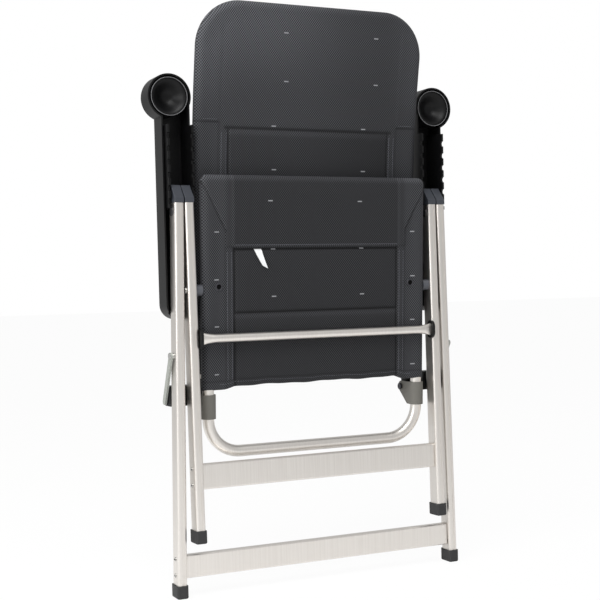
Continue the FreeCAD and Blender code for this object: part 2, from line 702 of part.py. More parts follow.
def back_tube():
    """An upside-down U of round tube, bent forward above the lumbar."""
    start, bend_start, bend_middle, bend_end, upward = back_path()
    corner, half = dim("back_corner"), dim("tube_x")
    corner_start = bend_end + upward * dim("back_upper")
    diagonal = 1 - math.sqrt(0.5)

    def shift(point, x):
        return point + FreeCAD.Vector(x, 0, 0)

    def side_edges(side):
        x = side * half
        middle = shift(corner_start + upward * (corner * math.sqrt(0.5)), side * (half - corner * diagonal))
        top = shift(corner_start + upward * corner, side * (half - corner))
        return [Part.makeLine(shift(start, x), shift(bend_start, x)),
                Part.Arc(shift(bend_start, x), shift(bend_middle, x), shift(bend_end, x)).toShape(),
                Part.makeLine(shift(bend_end, x), shift(corner_start, x)),
                Part.Arc(shift(corner_start, x), middle, top).toShape()], top

    left_edges, left_top = side_edges(-1)
    right_edges, right_top = side_edges(1)
    edges = left_edges + [Part.makeLine(left_top, right_top)] + right_edges[::-1]
    return swept_tube(Part.Wire(Part.sortEdges(edges)[0]), shift(start, -half), Z_AXIS)


def place_on_back(item):
    place(item, (0, dim("hinge_y"), dim("hinge_z")), X_AXIS, dim("back_lean"))


def back_point(y, z):
    """A point in the YZ plane, from chair coordinates to the backrest's own."""
    turn = math.radians(dim("back_lean"))
    y_off, z_off = y - dim("hinge_y"), z - dim("hinge_z")
    return y_off * math.cos(turn) + z_off * math.sin(turn), z_off * math.cos(turn) - y_off * math.sin(turn)


arm_y, arm_z = back_point(dim("arm_pivot_y"), dim("arm_pivot_z"))
tube = back_tube()
for side in (-1, 1):
    hole_x = dim("tube_x") + 1 if side > 0 else -dim("tube_x") - 31
    tube = drill(tube, dim("arm_pin_radius") + dim("running_play"), hole_x, arm_y, arm_z, 30)
back_frame = doc.addObject("Part::Feature", "back_frame")
back_frame.Shape = tube
place_on_back(back_frame)
keep(back_frame, "back_frame")


def back_panel():
    """A plain padded panel between the two side tubes that follows their bend."""
    start, bend_start, bend_middle, bend_end, upward = back_path()
    low = FreeCAD.Vector(0, 0, dim("back_sling_start"))
    high = bend_end + upward * (dim("back_upper") + dim("back_corner") - dim("tube_radius") - 2)
    half_thick = dim("sling_thick") / 2
    bend_centre_y = -dim("back_bend_radius")
    spine = [low, bend_start, bend_middle, bend_end, high]

    def offset(point, push):
        if point.z <= bend_start.z:
            return point + FreeCAD.Vector(0, push, 0)
        if point.z > bend_end.z:
            return point + FreeCAD.Vector(0, upward.z, -upward.y) * push
        centre = FreeCAD.Vector(0, bend_centre_y, bend_start.z)
        return point + (point - centre).normalize() * push

    front = [offset(point, -half_thick) for point in spine]
    rear = [offset(point, half_thick) for point in spine]
    edges = [Part.makeLine(front[0], front[1]), Part.Arc(front[1], front[2], front[3]).toShape(),
             Part.makeLine(front[3], front[4]), Part.makeLine(front[4], rear[4]),
             Part.makeLine(rear[4], rear[3]), Part.Arc(rear[3], rear[2], rear[1]).toShape(),
             Part.makeLine(rear[1], rear[0]), Part.makeLine(rear[0], front[0])]
    outline = Part.Face(Part.Wire(edges))
    panel_solid = outline.extrude(X_AXIS * (2 * dim("sling_half_width")))
    panel_solid.translate(FreeCAD.Vector(-dim("sling_half_width"), 0, 0))
    reach_z = high.z + 1
    inset = dim("sling_clip_back")
    for side in (-1, 1):
        edge_x = side * (dim("sling_half_width") + 1)
        clip = Part.makePolygon([FreeCAD.Vector(edge_x, dim("drill_start"), reach_z - inset),
                                 FreeCAD.Vector(edge_x - side * (inset + 8), dim("drill_start"), reach_z + 8),
                                 FreeCAD.Vector(edge_x, dim("drill_start"), reach_z + 8),
                                 FreeCAD.Vector(edge_x, dim("drill_start"), reach_z - inset)])
        panel_solid = panel_solid.cut(Part.Face(clip).extrude(Y_AXIS * dim("drill_length")))
    return panel_solid


back_sling = doc.addObject("Part::Feature", "back_sling")
back_sling.Shape = back_panel()
place_on_back(back_sling)
keep(back_sling, "back_sling")

for word, side in SIDES:
    # plastic end of the backrest tube, with the eye that turns on the hinge shaft
    name = "back_tube_end_" + word
    across = "%d*tube_x" % side
    socket = rod(name + "_socket", "end_radius", (across, "0", "end_socket"), "end_length-end_socket", "z")
    eye = rod(name + "_eye", "end_eye", (across + "-end_eye_width/2", "0", "0"), "end_eye_width", "x")
    neck = block(name + "_neck", (across + "-end_eye_width/2", "-end_eye*0.8", "0"),
                 (across + "+end_eye_width/2", "end_eye*0.8", "end_socket+1"))
    solid = join(name + "_solid", [socket, eye, neck])
    tube_hole = rod(name + "_tube_hole", "tube_radius+0.1", (across, "0", "back_start-0.2"), "end_length", "z")
    shaft_hole = rod(name + "_shaft_hole", "shaft_radius+running_play", (across + "-30", "0", "0"), "60", "x")
    fitting = cut(name + "_drilled", solid, join(name + "_holes", [tube_hole, shaft_hole]))
    holder = group(name + "_on_back", [fitting])
    place_on_back(holder)
    keep(holder, name)

    length = "arm_inner_x+boss_length-(tube_x+2)"
    shank = rod("arm_pin_shank_" + word, "arm_pin_radius",
                (span(side, "tube_x+2", length), "arm_pivot_y", "arm_pivot_z"), length, "x")
    # the pin's shoulder, which keeps the armrest clear of the tube
    shoulder = rod("arm_pin_shoulder_" + word, "arm_pin_shoulder",
                   (span(side, "tube_x+tube_radius+0.3", "arm_pin_shoulder_length"),
                    "arm_pivot_y", "arm_pivot_z"), "arm_pin_shoulder_length", "x")
    keep(join("arm_pin_" + word, [shank, shoulder]), "arm_pin_" + word)


# ---- armrests -----------------------------------------------------------------------------------

def stadium(name, inset, low_y, high_y):
    """The armrest's plan: a strip with a round rear end and a larger disc in front."""
    low_x, high_x = "arm_inner_x+%s" % inset, "arm_outer_x-%s" % inset
    radius = "(arm_outer_x-arm_inner_x)/2-%s" % inset
    depth = "(%s)-(%s)" % (high_y, low_y)
    strip = block(name + "_strip", (low_x, low_y, "arm_rear_z"), (high_x, high_y, "disc_z"))
    end = rod(name + "_end", radius, ("(arm_inner_x+arm_outer_x)/2", low_y, "arm_rear_z"), depth, "y")
    disc = rod(name + "_disc", "disc_radius-%s" % inset, ("disc_x", low_y, "disc_z"), depth, "y")
    return join(name, [strip, end, disc])


def ring_wall(name, outer, thick, low_y, high_y):
    outside = rod(name + "_out", outer, ("disc_x", low_y, "disc_z"), "(%s)-(%s)" % (high_y, low_y), "y")
    inside = rod(name + "_in", "%s-%s" % (outer, thick), ("disc_x", low_y + "-1", "disc_z"),
                 "(%s)-(%s)+2" % (high_y, low_y), "y")
    return cut(name, outside, inside)


def tooth_gaps(name, start):
    """Half-round notches along the free edge of a rack."""
    count = int((dim("rack_high_z") - dim("rack_low_z")) // dim("tooth_pitch"))
    return [rod("%s_notch_%d" % (name, step), "tooth_radius",
                (start + "-1", "rack_front_y", "rack_low_z+tooth_pitch*%s" % (step + 0.5)), "rack_thick+2", "x")
            for step in range(count)]


def armrest(name, side):
    """A hollow moulding, open underneath, with two notched racks and a row of webs."""
    outer = stadium(name + "_outer", "0", "arm_rim_y", "arm_back_y")
    doc.recompute()
    back = dim("arm_back_y")
    rim = [number for number, edge in enumerate(outer.Shape.Edges, start=1)
           if edge.BoundBox.YMin > back - 0.01]
    rounded = doc.addObject("Part::Fillet", name + "_rounded")
    rounded.Base = outer
    rounded.Edges = [(number, dim("arm_edge_round"), dim("arm_edge_round")) for number in rim]
    inner = stadium(name + "_inner", "arm_skin", "arm_rim_y-1", "arm_back_y-arm_skin")
    shell = cut(name + "_shell", rounded, inner)

    floor = "arm_back_y-arm_skin/2"
    parts = [shell]
    for place_name, start in (("inner", "arm_inner_x"), ("outer", "rack_outer_x")):
        plate = block("%s_%s_rack" % (name, place_name), (start, "rack_front_y", "rack_low_z"),
                      ("%s+rack_thick" % start, floor, "rack_high_z"))
        notches = join("%s_%s_notches" % (name, place_name), tooth_gaps("%s_%s" % (name, place_name), start))
        parts.append(cut("%s_%s_toothed" % (name, place_name), plate, notches))
    web_count = int((dim("rack_high_z") - dim("rack_low_z")) // dim("web_pitch")) + 1
    for step in range(web_count):
        level = "rack_low_z+2+web_pitch*%d" % step
        parts.append(block("%s_web_%d" % (name, step), ("rack_outer_x+rack_thick/2", "arm_rim_y+4", level),
                           ("arm_outer_x-arm_skin/2", floor, level + "+web_thick")))
    parts.append(ring_wall(name + "_rib", "disc_rib_radius", "disc_rib", "arm_rim_y+1", floor))
    parts.append(rod(name + "_boss", "boss_radius", ("arm_inner_x+0.5", "arm_pivot_y", "arm_pivot_z"),
                     "boss_length+2", "x"))
    solid = join(name + "_solid", parts)
    hole = rod(name + "_pin_hole", "arm_pin_radius+running_play",
               ("arm_inner_x-20", "arm_pivot_y", "arm_pivot_z"), "20+boss_length+0.5", "x")
    # the rear end wall is cut away where it meets the rear leg
    leg_gap = block(name + "_leg_gap", ("arm_leg_gap_x", "arm_rim_y-1", "arm_rear_z-arm_leg_gap_reach"),
                    ("arm_leg_gap_x+arm_leg_gap_width", "arm_rim_y+arm_leg_gap_deep", "arm_rear_z"))
    drilled = cut(name + "_drilled", solid, join(name + "_removed", [hole, leg_gap]))
    return mirrored(name, drilled, side)


for word, side in SIDES:
    keep(armrest("armrest_" + word, side), "armrest_" + word)


# ---- links ----------------------------------------------------------------------------------------

def link(name, side):
    """A flat bar with round ends from the rear leg to the rear hinge."""
    run_y, run_z = dim("hinge_y"), dim("hinge_z") - dim("link_pivot_z")
    length, turn = math.hypot(run_y, run_z), math.degrees(math.atan2(run_y, -run_z))
    body = new_body(name)
    strip = new_sketch(body, "YZ_Plane")
    draw_rectangle(strip, "link_width", "%f" % length, level="%f" % (-length / 2))
    pad(body, strip, "link_thick")
    for level in ("0", "%f" % -length):
        end = new_sketch(body, "YZ_Plane")
        draw_circle(end, "link_width/2", "0", level)
        pad(body, end, "link_thick")
    eyes = new_sketch(body, "YZ_Plane")
    draw_circle(eyes, "rivet_radius+running_play")
    pocket(body, eyes, "3*link_thick", both_ways=True)
    start = dim("link_x") if side > 0 else -dim("link_x") - dim("link_thick")
    place(body, (start, 0, dim("link_pivot_z")), X_AXIS, turn)
    return body


for word, side in SIDES:
    keep(link("link_" + word, side), "link_" + word)


# ---- checks and export ---------------------------------------------------------------------------

final_nodes = []
for item in nodes:
    label = item.Label
    item.Label = label + "_drawn"
    moved = group("node_" + label, [item])
    bind(moved, **{"Placement.Base.y": "-frame_shift"})
    moved.Label = label
    final_nodes.append(moved)

doc.recompute()
for item in doc.Objects:
    if "Invalid" in item.State or "Error" in item.State:
        raise RuntimeError("%s failed: %s" % (item.Name, item.State))
for item in final_nodes:
    if item.Shape.isNull() or not item.Shape.isValid() or not item.Shape.Solids:
        raise RuntimeError("%s has no valid shape" % item.Label)

os.makedirs("parts", exist_ok=True)
for item in final_nodes:
    item.Shape.exportStep("parts/%s.step" % item.Label)
print("%d nodes written" % len(final_nodes))
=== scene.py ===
import math

import bmesh
import bpy
import numpy as np
from mathutils import Matrix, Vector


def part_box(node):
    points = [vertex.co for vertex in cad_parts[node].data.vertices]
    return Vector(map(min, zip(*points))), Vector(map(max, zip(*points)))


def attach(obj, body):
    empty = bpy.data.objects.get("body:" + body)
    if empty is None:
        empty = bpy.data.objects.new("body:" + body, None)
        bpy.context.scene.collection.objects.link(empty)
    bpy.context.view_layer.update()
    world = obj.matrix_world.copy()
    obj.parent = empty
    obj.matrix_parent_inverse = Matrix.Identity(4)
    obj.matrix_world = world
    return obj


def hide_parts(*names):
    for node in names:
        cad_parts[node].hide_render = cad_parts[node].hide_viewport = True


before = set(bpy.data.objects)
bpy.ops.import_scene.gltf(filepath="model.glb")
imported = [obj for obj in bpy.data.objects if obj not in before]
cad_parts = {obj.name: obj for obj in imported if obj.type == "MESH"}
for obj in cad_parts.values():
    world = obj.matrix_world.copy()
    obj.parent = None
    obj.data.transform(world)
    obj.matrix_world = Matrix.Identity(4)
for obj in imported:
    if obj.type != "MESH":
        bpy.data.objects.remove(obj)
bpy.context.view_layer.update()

bl_info = {
    "name": "Folding camp chair",
    "version": (1, 0, 0),
    "blender": (4, 5, 0),
    "location": "3D View > Sidebar > Camp Chair",
    "description": "Padded slings, stitching, moulded details and finishes of a folding camp chair",
    "category": "Object",
}

# Places shared with the frame, in metres. Y of the rear legs' plane, the seat's pivot and
# the rear hinge, with the lean of the seat and of the backrest about X in degrees.
SEAT_PIVOT = (-0.0124, 0.565)
SEAT_LEAN = 3.0
HINGE = (0.032, 0.360)
BACK_LEAN = 2.2
BACK_STRAIGHT = 0.372
BACK_BEND_RADIUS = 1.5
BACK_BEND = math.radians(8.8)

# Slings, in metres: half-width over the sleeves, sleeve radius, and how far each runs
# along its own length from the pivot.
SLEEVE = 0.0124
HALF_WIDTH = 0.2366
SEAT_BOTTOM, SEAT_TOP, SEAT_CORNER = -0.187, 0.2122, 0.0125
BACK_BOTTOM, BACK_TOP, BACK_CORNER = 0.046, 0.7406, 0.086
BAND_INNER, BAND_OUTER = 0.1755, 0.190
SEAT_SEAM, SEAT_CHANNEL, SEAT_HEM_ROW = 0.0795, -0.044, -0.176
FLAP_LOW, FLAP_HIGH, FLAP_OUTER = 0.112, 0.187, 0.229
BACK_SEAM, BACK_SLEEVE_END = 0.5075, 0.5205
HEM_LIFT = 0.006

# Small pieces, in metres: stitches and woven dashes as length, width and thickness, the
# eyelets and the armrest dishes by their places on the seat and on the chair.
STITCH, STITCH_LIFT = (0.0028, 0.0006, 0.0006), 0.0003
DASH, DASH_LIFT = (0.009, 0.0022, 0.0007), 0.00035
EYELET_X, EYELET_OUT, EYELET_RISE = 0.204, -0.0096, 0.006
EYELET_REACH, EYELET_SECTION, EYELET_HOLLOW = 0.0060, 0.0015, 0.0047
DISH_X, DISH_BACK, DISH_Z = 0.281, 0.0055, 0.921
DISH_RADIUS, DISH_DEPTH, DISH_THICK = 0.0340, 0.020, 0.0016
LIP_FRONT, LIP_REACH, LIP_SECTION = 0.0036, 0.0347, 0.0006
RECESS_RADIUS, RECESS_LIFT, SCREW_INSET = 0.0016, 0.0002, 0.0036
TAG_X, TAG_SWING, TAG_HALF_WIDTH, TAG_DROP = -0.1265, 0.0135, 0.0075, 0.034

# Steps round a closed form: rings of the small discs, and the torus the long and short way.
DISC_STEPS = 24
TORUS_STEPS = (48, 12)
RIM_STEPS = 8
HEM_ROUND = 0.004

# The view: where the camera stands, its turns about Z, across and along its line, its lens.
CAMERA_PLACE = (-1.0337, -2.1211, 0.5662)
CAMERA_TURNS = (-25.31, -2.27, -1.42)
CAMERA_LENS, CAMERA_FILM, CAMERA_SHIFT, CAMERA_REACH = 73.105, 36.0, 0.0592, 200.0
FLOOR_SIZE = 60.0


# ---- finishes --------------------------------------------------------------------------

def linear(code):
    """An sRGB hex code as linear red, green, blue and alpha."""
    parts = [int(code[place:place + 2], 16) / 255 for place in (1, 3, 5)]
    straight = [part / 12.92 if part <= 0.04045 else ((part + 0.055) / 1.055) ** 2.4 for part in parts]
    return tuple(straight) + (1.0,)


def add(tree, kind, values=None, sources=None, **settings):
    """One node with its settings, its socket values and the outputs that feed it."""
    node = tree.nodes.new(kind)
    for name, value in settings.items():
        setattr(node, name, value)
    for key, value in (values or {}).items():
        node.inputs[key].default_value = value
    for key, source in (sources or {}).items():
        tree.links.new(source, node.inputs[key])
    return node


def new_material(name):
    """An empty material and its tree, with the shader and the output in place."""
    material = bpy.data.materials.new(name)
    material.use_nodes = True
    tree = material.node_tree
    tree.nodes.clear()
    shader = add(tree, "ShaderNodeBsdfPrincipled")
    add(tree, "ShaderNodeOutputMaterial", sources={"Surface": shader.outputs[0]})
    return material, tree, shader


def moulded(name, colour, roughness, grain_mm, depth=0.15, specular=0.5):
    """Moulded plastic or rubber: a fine spark-eroded grain that breaks up its highlights."""
    material, tree, shader = new_material(name)
    shader.inputs["Base Color"].default_value = linear(colour)
    shader.inputs["Roughness"].default_value = roughness
    shader.inputs["Specular IOR Level"].default_value = specular
    place = add(tree, "ShaderNodeTexCoord")
    grain = add(tree, "ShaderNodeTexNoise", {"Scale": 1000 / grain_mm, "Detail": 3.0},
                {"Vector": place.outputs["Object"]})
    bump = add(tree, "ShaderNodeBump", {"Strength": depth, "Distance": 0.0003},
               {"Height": grain.outputs["Fac"]})
    tree.links.new(bump.outputs[0], shader.inputs["Normal"])
    return material


def anodised(name, light, dark, roughness):
    """Extruded aluminium, brushed along and clear anodised: satin, with faint lengthwise streaks."""
    material, tree, shader = new_material(name)
    shader.inputs["Metallic"].default_value = 1.0
    place = add(tree, "ShaderNodeTexCoord")
    stretch = add(tree, "ShaderNodeMapping", {"Scale": (420.0, 420.0, 6.0)},
                  {"Vector": place.outputs["Object"]})
    streak = add(tree, "ShaderNodeTexNoise", {"Scale": 1.0, "Detail": 2.0}, {"Vector": stretch.outputs[0]})
    tint = add(tree, "ShaderNodeMix", sources={"Factor": streak.outputs["Fac"]}, data_type="RGBA")
    tint.inputs[6].default_value = linear(light)
    tint.inputs[7].default_value = linear(dark)
    tree.links.new(tint.outputs[2], shader.inputs["Base Color"])
    shade = add(tree, "ShaderNodeMapRange", {"To Min": roughness - 0.04, "To Max": roughness + 0.05},
                {"Value": streak.outputs["Fac"]})
    tree.links.new(shade.outputs[0], shader.inputs["Roughness"])
    return material


def plated(name, colour, roughness):
    """Zinc plated steel: bright and slightly soft in its reflections."""
    material, tree, shader = new_material(name)
    shader.inputs["Metallic"].default_value = 1.0
    shader.inputs["Base Color"].default_value = linear(colour)
    shader.inputs["Roughness"].default_value = roughness
    return material


def woven(name, yarn, gap, pitch_mm, relief):
    """Spacer mesh of coated polyester: light yarn in diamonds over a darker ground.

    The pattern is the product of two sines, one across and one along the cloth, read from
    the cloth's own map. The real holes are about 2 mm apart and are drawn coarser to show.
    """
    material, tree, shader = new_material(name)
    place = add(tree, "ShaderNodeUVMap", uv_map="cloth")
    split = add(tree, "ShaderNodeSeparateXYZ", sources={"Vector": place.outputs[0]})
    waves = []
    for axis, pitch in (("X", pitch_mm), ("Y", pitch_mm * 1.25)):
        turn = add(tree, "ShaderNodeMath", {1: 2 * math.pi * 1000 / pitch}, {0: split.outputs[axis]},
                   operation="MULTIPLY")
        waves.append(add(tree, "ShaderNodeMath", sources={0: turn.outputs[0]}, operation="SINE"))
    product = add(tree, "ShaderNodeMath", sources={0: waves[0].outputs[0], 1: waves[1].outputs[0]},
                  operation="MULTIPLY")
    knots = add(tree, "ShaderNodeMapRange", {"From Min": -0.55, "From Max": 0.75},
                {"Value": product.outputs[0]})
    mesh = add(tree, "ShaderNodeAttribute", attribute_name="openness_and_shade")
    show = add(tree, "ShaderNodeMath", sources={0: knots.outputs[0], 1: mesh.outputs["Fac"]},
               operation="MULTIPLY")
    colour = add(tree, "ShaderNodeMix", sources={"Factor": show.outputs[0]}, data_type="RGBA")
    colour.inputs[6].default_value = linear(gap)
    colour.inputs[7].default_value = linear(yarn)
    # painted shade along the seams and painted highlights on taut edges, rounded lips and the backrest's
    # head, read from a point attribute that scales the colour
    seam = add(tree, "ShaderNodeAttribute", attribute_name="painted_shading")
    shade = add(tree, "ShaderNodeMapRange", {"From Min": -1.0, "To Min": 1.8, "To Max": 0.2},
                {"Value": seam.outputs["Fac"]})
    shaded = add(tree, "ShaderNodeMix", {0: 1.0}, data_type="RGBA", blend_type="MULTIPLY")
    tree.links.new(colour.outputs[2], shaded.inputs[6])
    tree.links.new(shade.outputs[0], shaded.inputs[7])
    tree.links.new(shaded.outputs[2], shader.inputs["Base Color"])
    shader.inputs["Roughness"].default_value = 0.72
    shader.inputs["Specular IOR Level"].default_value = 0.22
    shader.inputs["Sheen Weight"].default_value = 0.12
    shader.inputs["Sheen Roughness"].default_value = 0.45
    shader.inputs["Sheen Tint"].default_value = linear("#9A9AA2")
    bump = add(tree, "ShaderNodeBump", {"Strength": relief, "Distance": 0.0006}, {"Height": knots.outputs[0]})
    tree.links.new(bump.outputs[0], shader.inputs["Normal"])
    return material


def plain(name, colour, roughness, specular=0.5):
    """An even finish with no pattern of its own, such as paint, thread or label ribbon."""
    material, tree, shader = new_material(name)
    shader.inputs["Base Color"].default_value = linear(colour)
    shader.inputs["Roughness"].default_value = roughness
    shader.inputs["Specular IOR Level"].default_value = specular
    return material


def wear(piece, material):
    """Give a piece one finish and no other."""
    piece.data.materials.clear()
    piece.data.materials.append(material)


SIDES = ("left", "right")
NODE_FINISHES = {
    "aluminium": ["front_middle_bar", "rear_lower_bar", "front_round_bar", "seat_frame", "back_frame"]
    + ["%s_leg_%s" % (end, side) for end in ("rear", "front") for side in SIDES],
    "caps": ["%s_cap_%s" % (end, side) for end in ("rear", "front") for side in SIDES],
    "feet": ["%s_foot_%s" % (end, side) for end in ("rear", "front") for side in SIDES],
    "armrests": ["armrest_" + side for side in SIDES],
    "black": ["%s_%s" % (kind, side) for kind in ("round_bar_bushing", "back_tube_end", "hinge_block")
              for side in SIDES] + ["seat_eyelets"],
    "spacers": ["seat_spacer_" + side for side in SIDES],
    "brackets": ["seat_hinge_" + side for side in SIDES],
    "bright": ["rear_bar_screws", "front_bar_screws"]
    + ["%s_%s" % (kind, side) for kind in ("link_rivet", "seat_bolt") for side in SIDES],
    "pins": ["%s_%s" % (kind, side) for kind in ("apex_pin", "arm_pin") for side in SIDES],
    "shafts": ["%s_%s" % (kind, side) for kind in ("hinge_shaft", "hinge_collar") for side in SIDES],
    "links": ["link_" + side for side in SIDES],
}


def make_finishes(colours):
    """Every finish of the chair, by a short name."""
    return {
        # clear anodised extrusion: pale, satin, bright along the edges of the flute
        "aluminium": anodised("anodised_aluminium", colours.aluminium, "#DAD5CF", 0.38),
        # acetal plugs, slate, finely grained
        "caps": moulded("slate_acetal", "#34373E", 0.48, 0.9),
        # dark thermoplastic rubber, dull
        "feet": moulded("dark_rubber", "#2E2E2F", 0.62, 1.1, specular=0.4),
        # glass-filled nylon, black with a low sheen
        "armrests": moulded("black_nylon", "#0B0B0C", 0.42, 0.8, 0.12, specular=0.2),
        # painted highlight: a lighter grey copy of the black nylon on the rounded lip round each dish
        "edges": moulded("nylon_lip_highlight", "#6E6E70", 0.5, 0.8, 0.12),
        "black": moulded("black_acetal", "#0E0E0F", 0.45, 0.9, specular=0.25),
        "spacers": moulded("grey_acetal", "#4A4C52", 0.5, 0.9),
        # grey-brown glass-filled nylon, dull
        "brackets": moulded("grey_brown_nylon", "#66645E", 0.55, 0.8),
        "bright": plated("zinc_plated_steel", "#C9C9C7", 0.3),
        # zinc plated steel in a darker grey and rougher than the bolts
        "pins": plated("dull_zinc_plated_steel", "#5C5C5E", 0.45),
        "shafts": plated("blackened_steel", "#4A4A4E", 0.4),
        # powder coated strip, light grey
        "links": plain("grey_powder_coat", "#9DA09A", 0.45),
        "cloth": woven("polyester_spacer_mesh", colours.yarn, colours.ground, 4.4, 0.35),
        "thread": plain("bonded_thread", "#5F6068", 0.6),
        "marks": plain("woven_mark_thread", "#8C8D90", 0.6),
        "ribbon": plain("satin_label_ribbon", "#E4E5E6", 0.5),
        # painted shade: near-black, for the discs standing in the eyelet holes and the screws' drive recesses
        "dark": plain("unlit_hollow", "#050505", 0.9, 0.1),
    }


FINISHES = {}


# ---- surfaces ----------------------------------------------------------------------------

def ease(values, low, high):
    """Smooth step: 0 below low, 1 above high, with level ends."""
    share = np.clip((values - low) / (high - low), 0.0, 1.0)
    return share * share * (3 - 2 * share)


def ridge(values, centre, width):
    """A bell of height 1 and the given half-width round a centre."""
    return np.exp(-((values - centre) / width) ** 2)


def pillow(values, low, high, power=0.5):
    """A rounded lift between two seams: 4 u (1 - u) to a power, u from 0 to 1 between them."""
    share = np.clip((values - low) / (high - low), 0.0, 1.0)
    return np.clip(4 * share * (1 - share), 0.0, 1.0) ** power


def ripple(across, along, scale, seed):
    """Slow wandering of stretched cloth: a sum of six plane waves with fixed directions."""
    total = np.zeros(np.broadcast(across, along).shape)
    for step in range(6):
        angle = seed + 2.4 * step
        wave = (1.0 + 0.37 * step) / scale
        reach = across * math.cos(angle) + along * math.sin(angle)
        total = total + np.sin(wave * reach + 1.7 * step * seed)
    return total / 6


def on_seat(across, out, along):
    """Seat coordinates to the frame: turned about X by the seat's lean, then moved to its pivot."""
    turn = math.radians(SEAT_LEAN)
    return np.stack([across + 0 * out, SEAT_PIVOT[0] + out * math.cos(turn) - along * math.sin(turn),
                     SEAT_PIVOT[1] + out * math.sin(turn) + along * math.cos(turn)], axis=-1)


def on_seat_cloth(across, out, along):
    """Seat coordinates of the cover: the hem between the sleeves is drawn up 6 mm, fading
    out over 40 mm, with a slow wave along it."""
    middle = 1 - ease(np.abs(across), 0.168, 0.196)
    fade = 1 - ease(along, SEAT_BOTTOM, SEAT_BOTTOM + 0.040)
    wave = 0.0008 * np.sin(across / 0.021) + 0.0005 * np.sin(across / 0.009 + 1.0)
    return on_seat(across, out, along + (HEM_LIFT + wave) * middle * fade)


def on_back(across, out, along):
    """Backrest coordinates to the frame: a straight run, an arc that bends forward, then a
    straight run; out is measured along the path's normal and the whole leans about X."""
    arc = np.clip((along - BACK_STRAIGHT) / BACK_BEND_RADIUS, 0.0, BACK_BEND)
    rest = np.clip(along - BACK_STRAIGHT - BACK_BEND_RADIUS * BACK_BEND, 0.0, None)
    run = np.minimum(along, BACK_STRAIGHT)
    y = -BACK_BEND_RADIUS * (1 - np.cos(arc)) - rest * math.sin(BACK_BEND) + out * np.cos(arc)
    z = run + BACK_BEND_RADIUS * np.sin(arc) + rest * math.cos(BACK_BEND) + out * np.sin(arc)
    turn = math.radians(BACK_LEAN)
    return np.stack([across + 0 * out, HINGE[0] + y * math.cos(turn) - z * math.sin(turn),
                     HINGE[1] + y * math.sin(turn) + z * math.cos(turn)], axis=-1)


def in_from_edge(across, along, half, top, corner):
    """Distance inwards from a rounded outline that is open at its foot."""
    side, head = half - np.abs(across), top - along
    in_corner = (side < corner) & (head < corner)
    round_part = corner - np.hypot(corner - side, corner - head)
    return np.clip(np.where(in_corner, round_part, np.minimum(side, head)), 0.0, None)


def sleeve_round(inside):
    """Half thickness near the edge: a half circle of the sleeve's radius, then level."""
    return np.sqrt(np.clip(SLEEVE ** 2 - (SLEEVE - np.minimum(inside, SLEEVE)) ** 2, 0.0, None))


def skin(across, along, shape, face):
    """Half thickness of one face: the sleeve's half circle at the rim, easing to the panel's
    own height, and drawn in to nothing over the last few millimetres at the hem."""
    inside = in_from_edge(across, along, HALF_WIDTH, shape["top"], shape["corner"])
    height = sleeve_round(inside)
    height = height + (shape[face](across, along) - SLEEVE) * ease(inside, SLEEVE * 0.9, SLEEVE + 0.024)
    hem = np.clip((along - shape["bottom"]) / HEM_ROUND, 0.0, 1.0)
    return height * np.sqrt(1 - (1 - hem) ** 2)


def sling_grid(shape, across_count, along_count):
    """Grid over the outline: columns bunch at the rim by 1 - cos, and so do the rows at both ends."""
    bend = 1 - np.cos(np.linspace(0, math.pi / 2, RIM_STEPS))
    low = shape["bottom"] + HEM_ROUND * bend[:-1]
    high = shape["top"] - SLEEVE * bend[::-1][1:]
    middle = np.linspace(shape["bottom"] + HEM_ROUND, shape["top"] - SLEEVE, along_count)
    along = np.concatenate([low, middle, high])[:, None]
    over = np.clip(along - (shape["top"] - shape["corner"]), 0.0, shape["corner"])
    half = HALF_WIDTH - shape["corner"] + np.sqrt(np.clip(shape["corner"] ** 2 - over ** 2, 0.0, None))
    rim = SLEEVE * bend[None, :-1]
    inner = half - SLEEVE
    share = np.linspace(-1, 1, across_count)[None, :]
    across = np.concatenate([-half + rim, inner * share, half - rim[:, ::-1]], axis=1)
    return across, np.broadcast_to(along, across.shape)


def new_mesh(name, points, faces):
    """A piece from its points, three numbers each, and its faces as an array or a list."""
    corners = faces if isinstance(faces, list) else faces.tolist()
    data = bpy.data.meshes.new(name)
    data.from_pydata(points.reshape(-1, 3).tolist(), [], corners)
    data.validate()
    piece = bpy.data.objects.new(name, data)
    bpy.context.scene.collection.objects.link(piece)
    return piece


def smooth(piece):
    """Shade a piece as one rounded surface."""
    piece.data.polygons.foreach_set("use_smooth", np.ones(len(piece.data.polygons), bool))


def grid_faces(rows, columns, start=0, flip=False):
    """Quads of a grid whose points are numbered row by row."""
    row, column = np.meshgrid(np.arange(rows - 1), np.arange(columns - 1), indexing="ij")
    first = (start + row * columns + column).ravel()
    quads = np.stack([first, first + 1, first + columns + 1, first + columns], axis=1)
    return quads[:, ::-1] if flip else quads


def give_map(piece, across, along, openness_and_shade, painted_shading):
    """The cloth's own map, in metres from its middle and its foot, with how open its weave is
    and the shade and highlights painted on it along its seams and edges."""
    data = piece.data
    corner = np.zeros(len(data.loops), np.int32)
    data.loops.foreach_get("vertex_index", corner)
    layer = data.uv_layers.new(name="cloth")
    flat = np.stack([across.ravel()[corner] + 0.5, along.ravel()[corner] + 0.25], axis=1)
    layer.data.foreach_set("uv", flat.astype(np.float32).ravel())
    for name, values in (("openness_and_shade", openness_and_shade), ("painted_shading", painted_shading)):
        value = data.attributes.new(name, "FLOAT", "POINT")
        value.data.foreach_set("value", values.ravel().astype(np.float32))


def close_doubles(piece, distance=0.00002):
    """Weld the two skins where they meet along the rim and the hem."""
    work = bmesh.new()
    work.from_mesh(piece.data)
    bmesh.ops.remove_doubles(work, verts=work.verts, dist=distance)
    bmesh.ops.recalc_face_normals(work, faces=work.faces)
    work.to_mesh(piece.data)
    work.free()


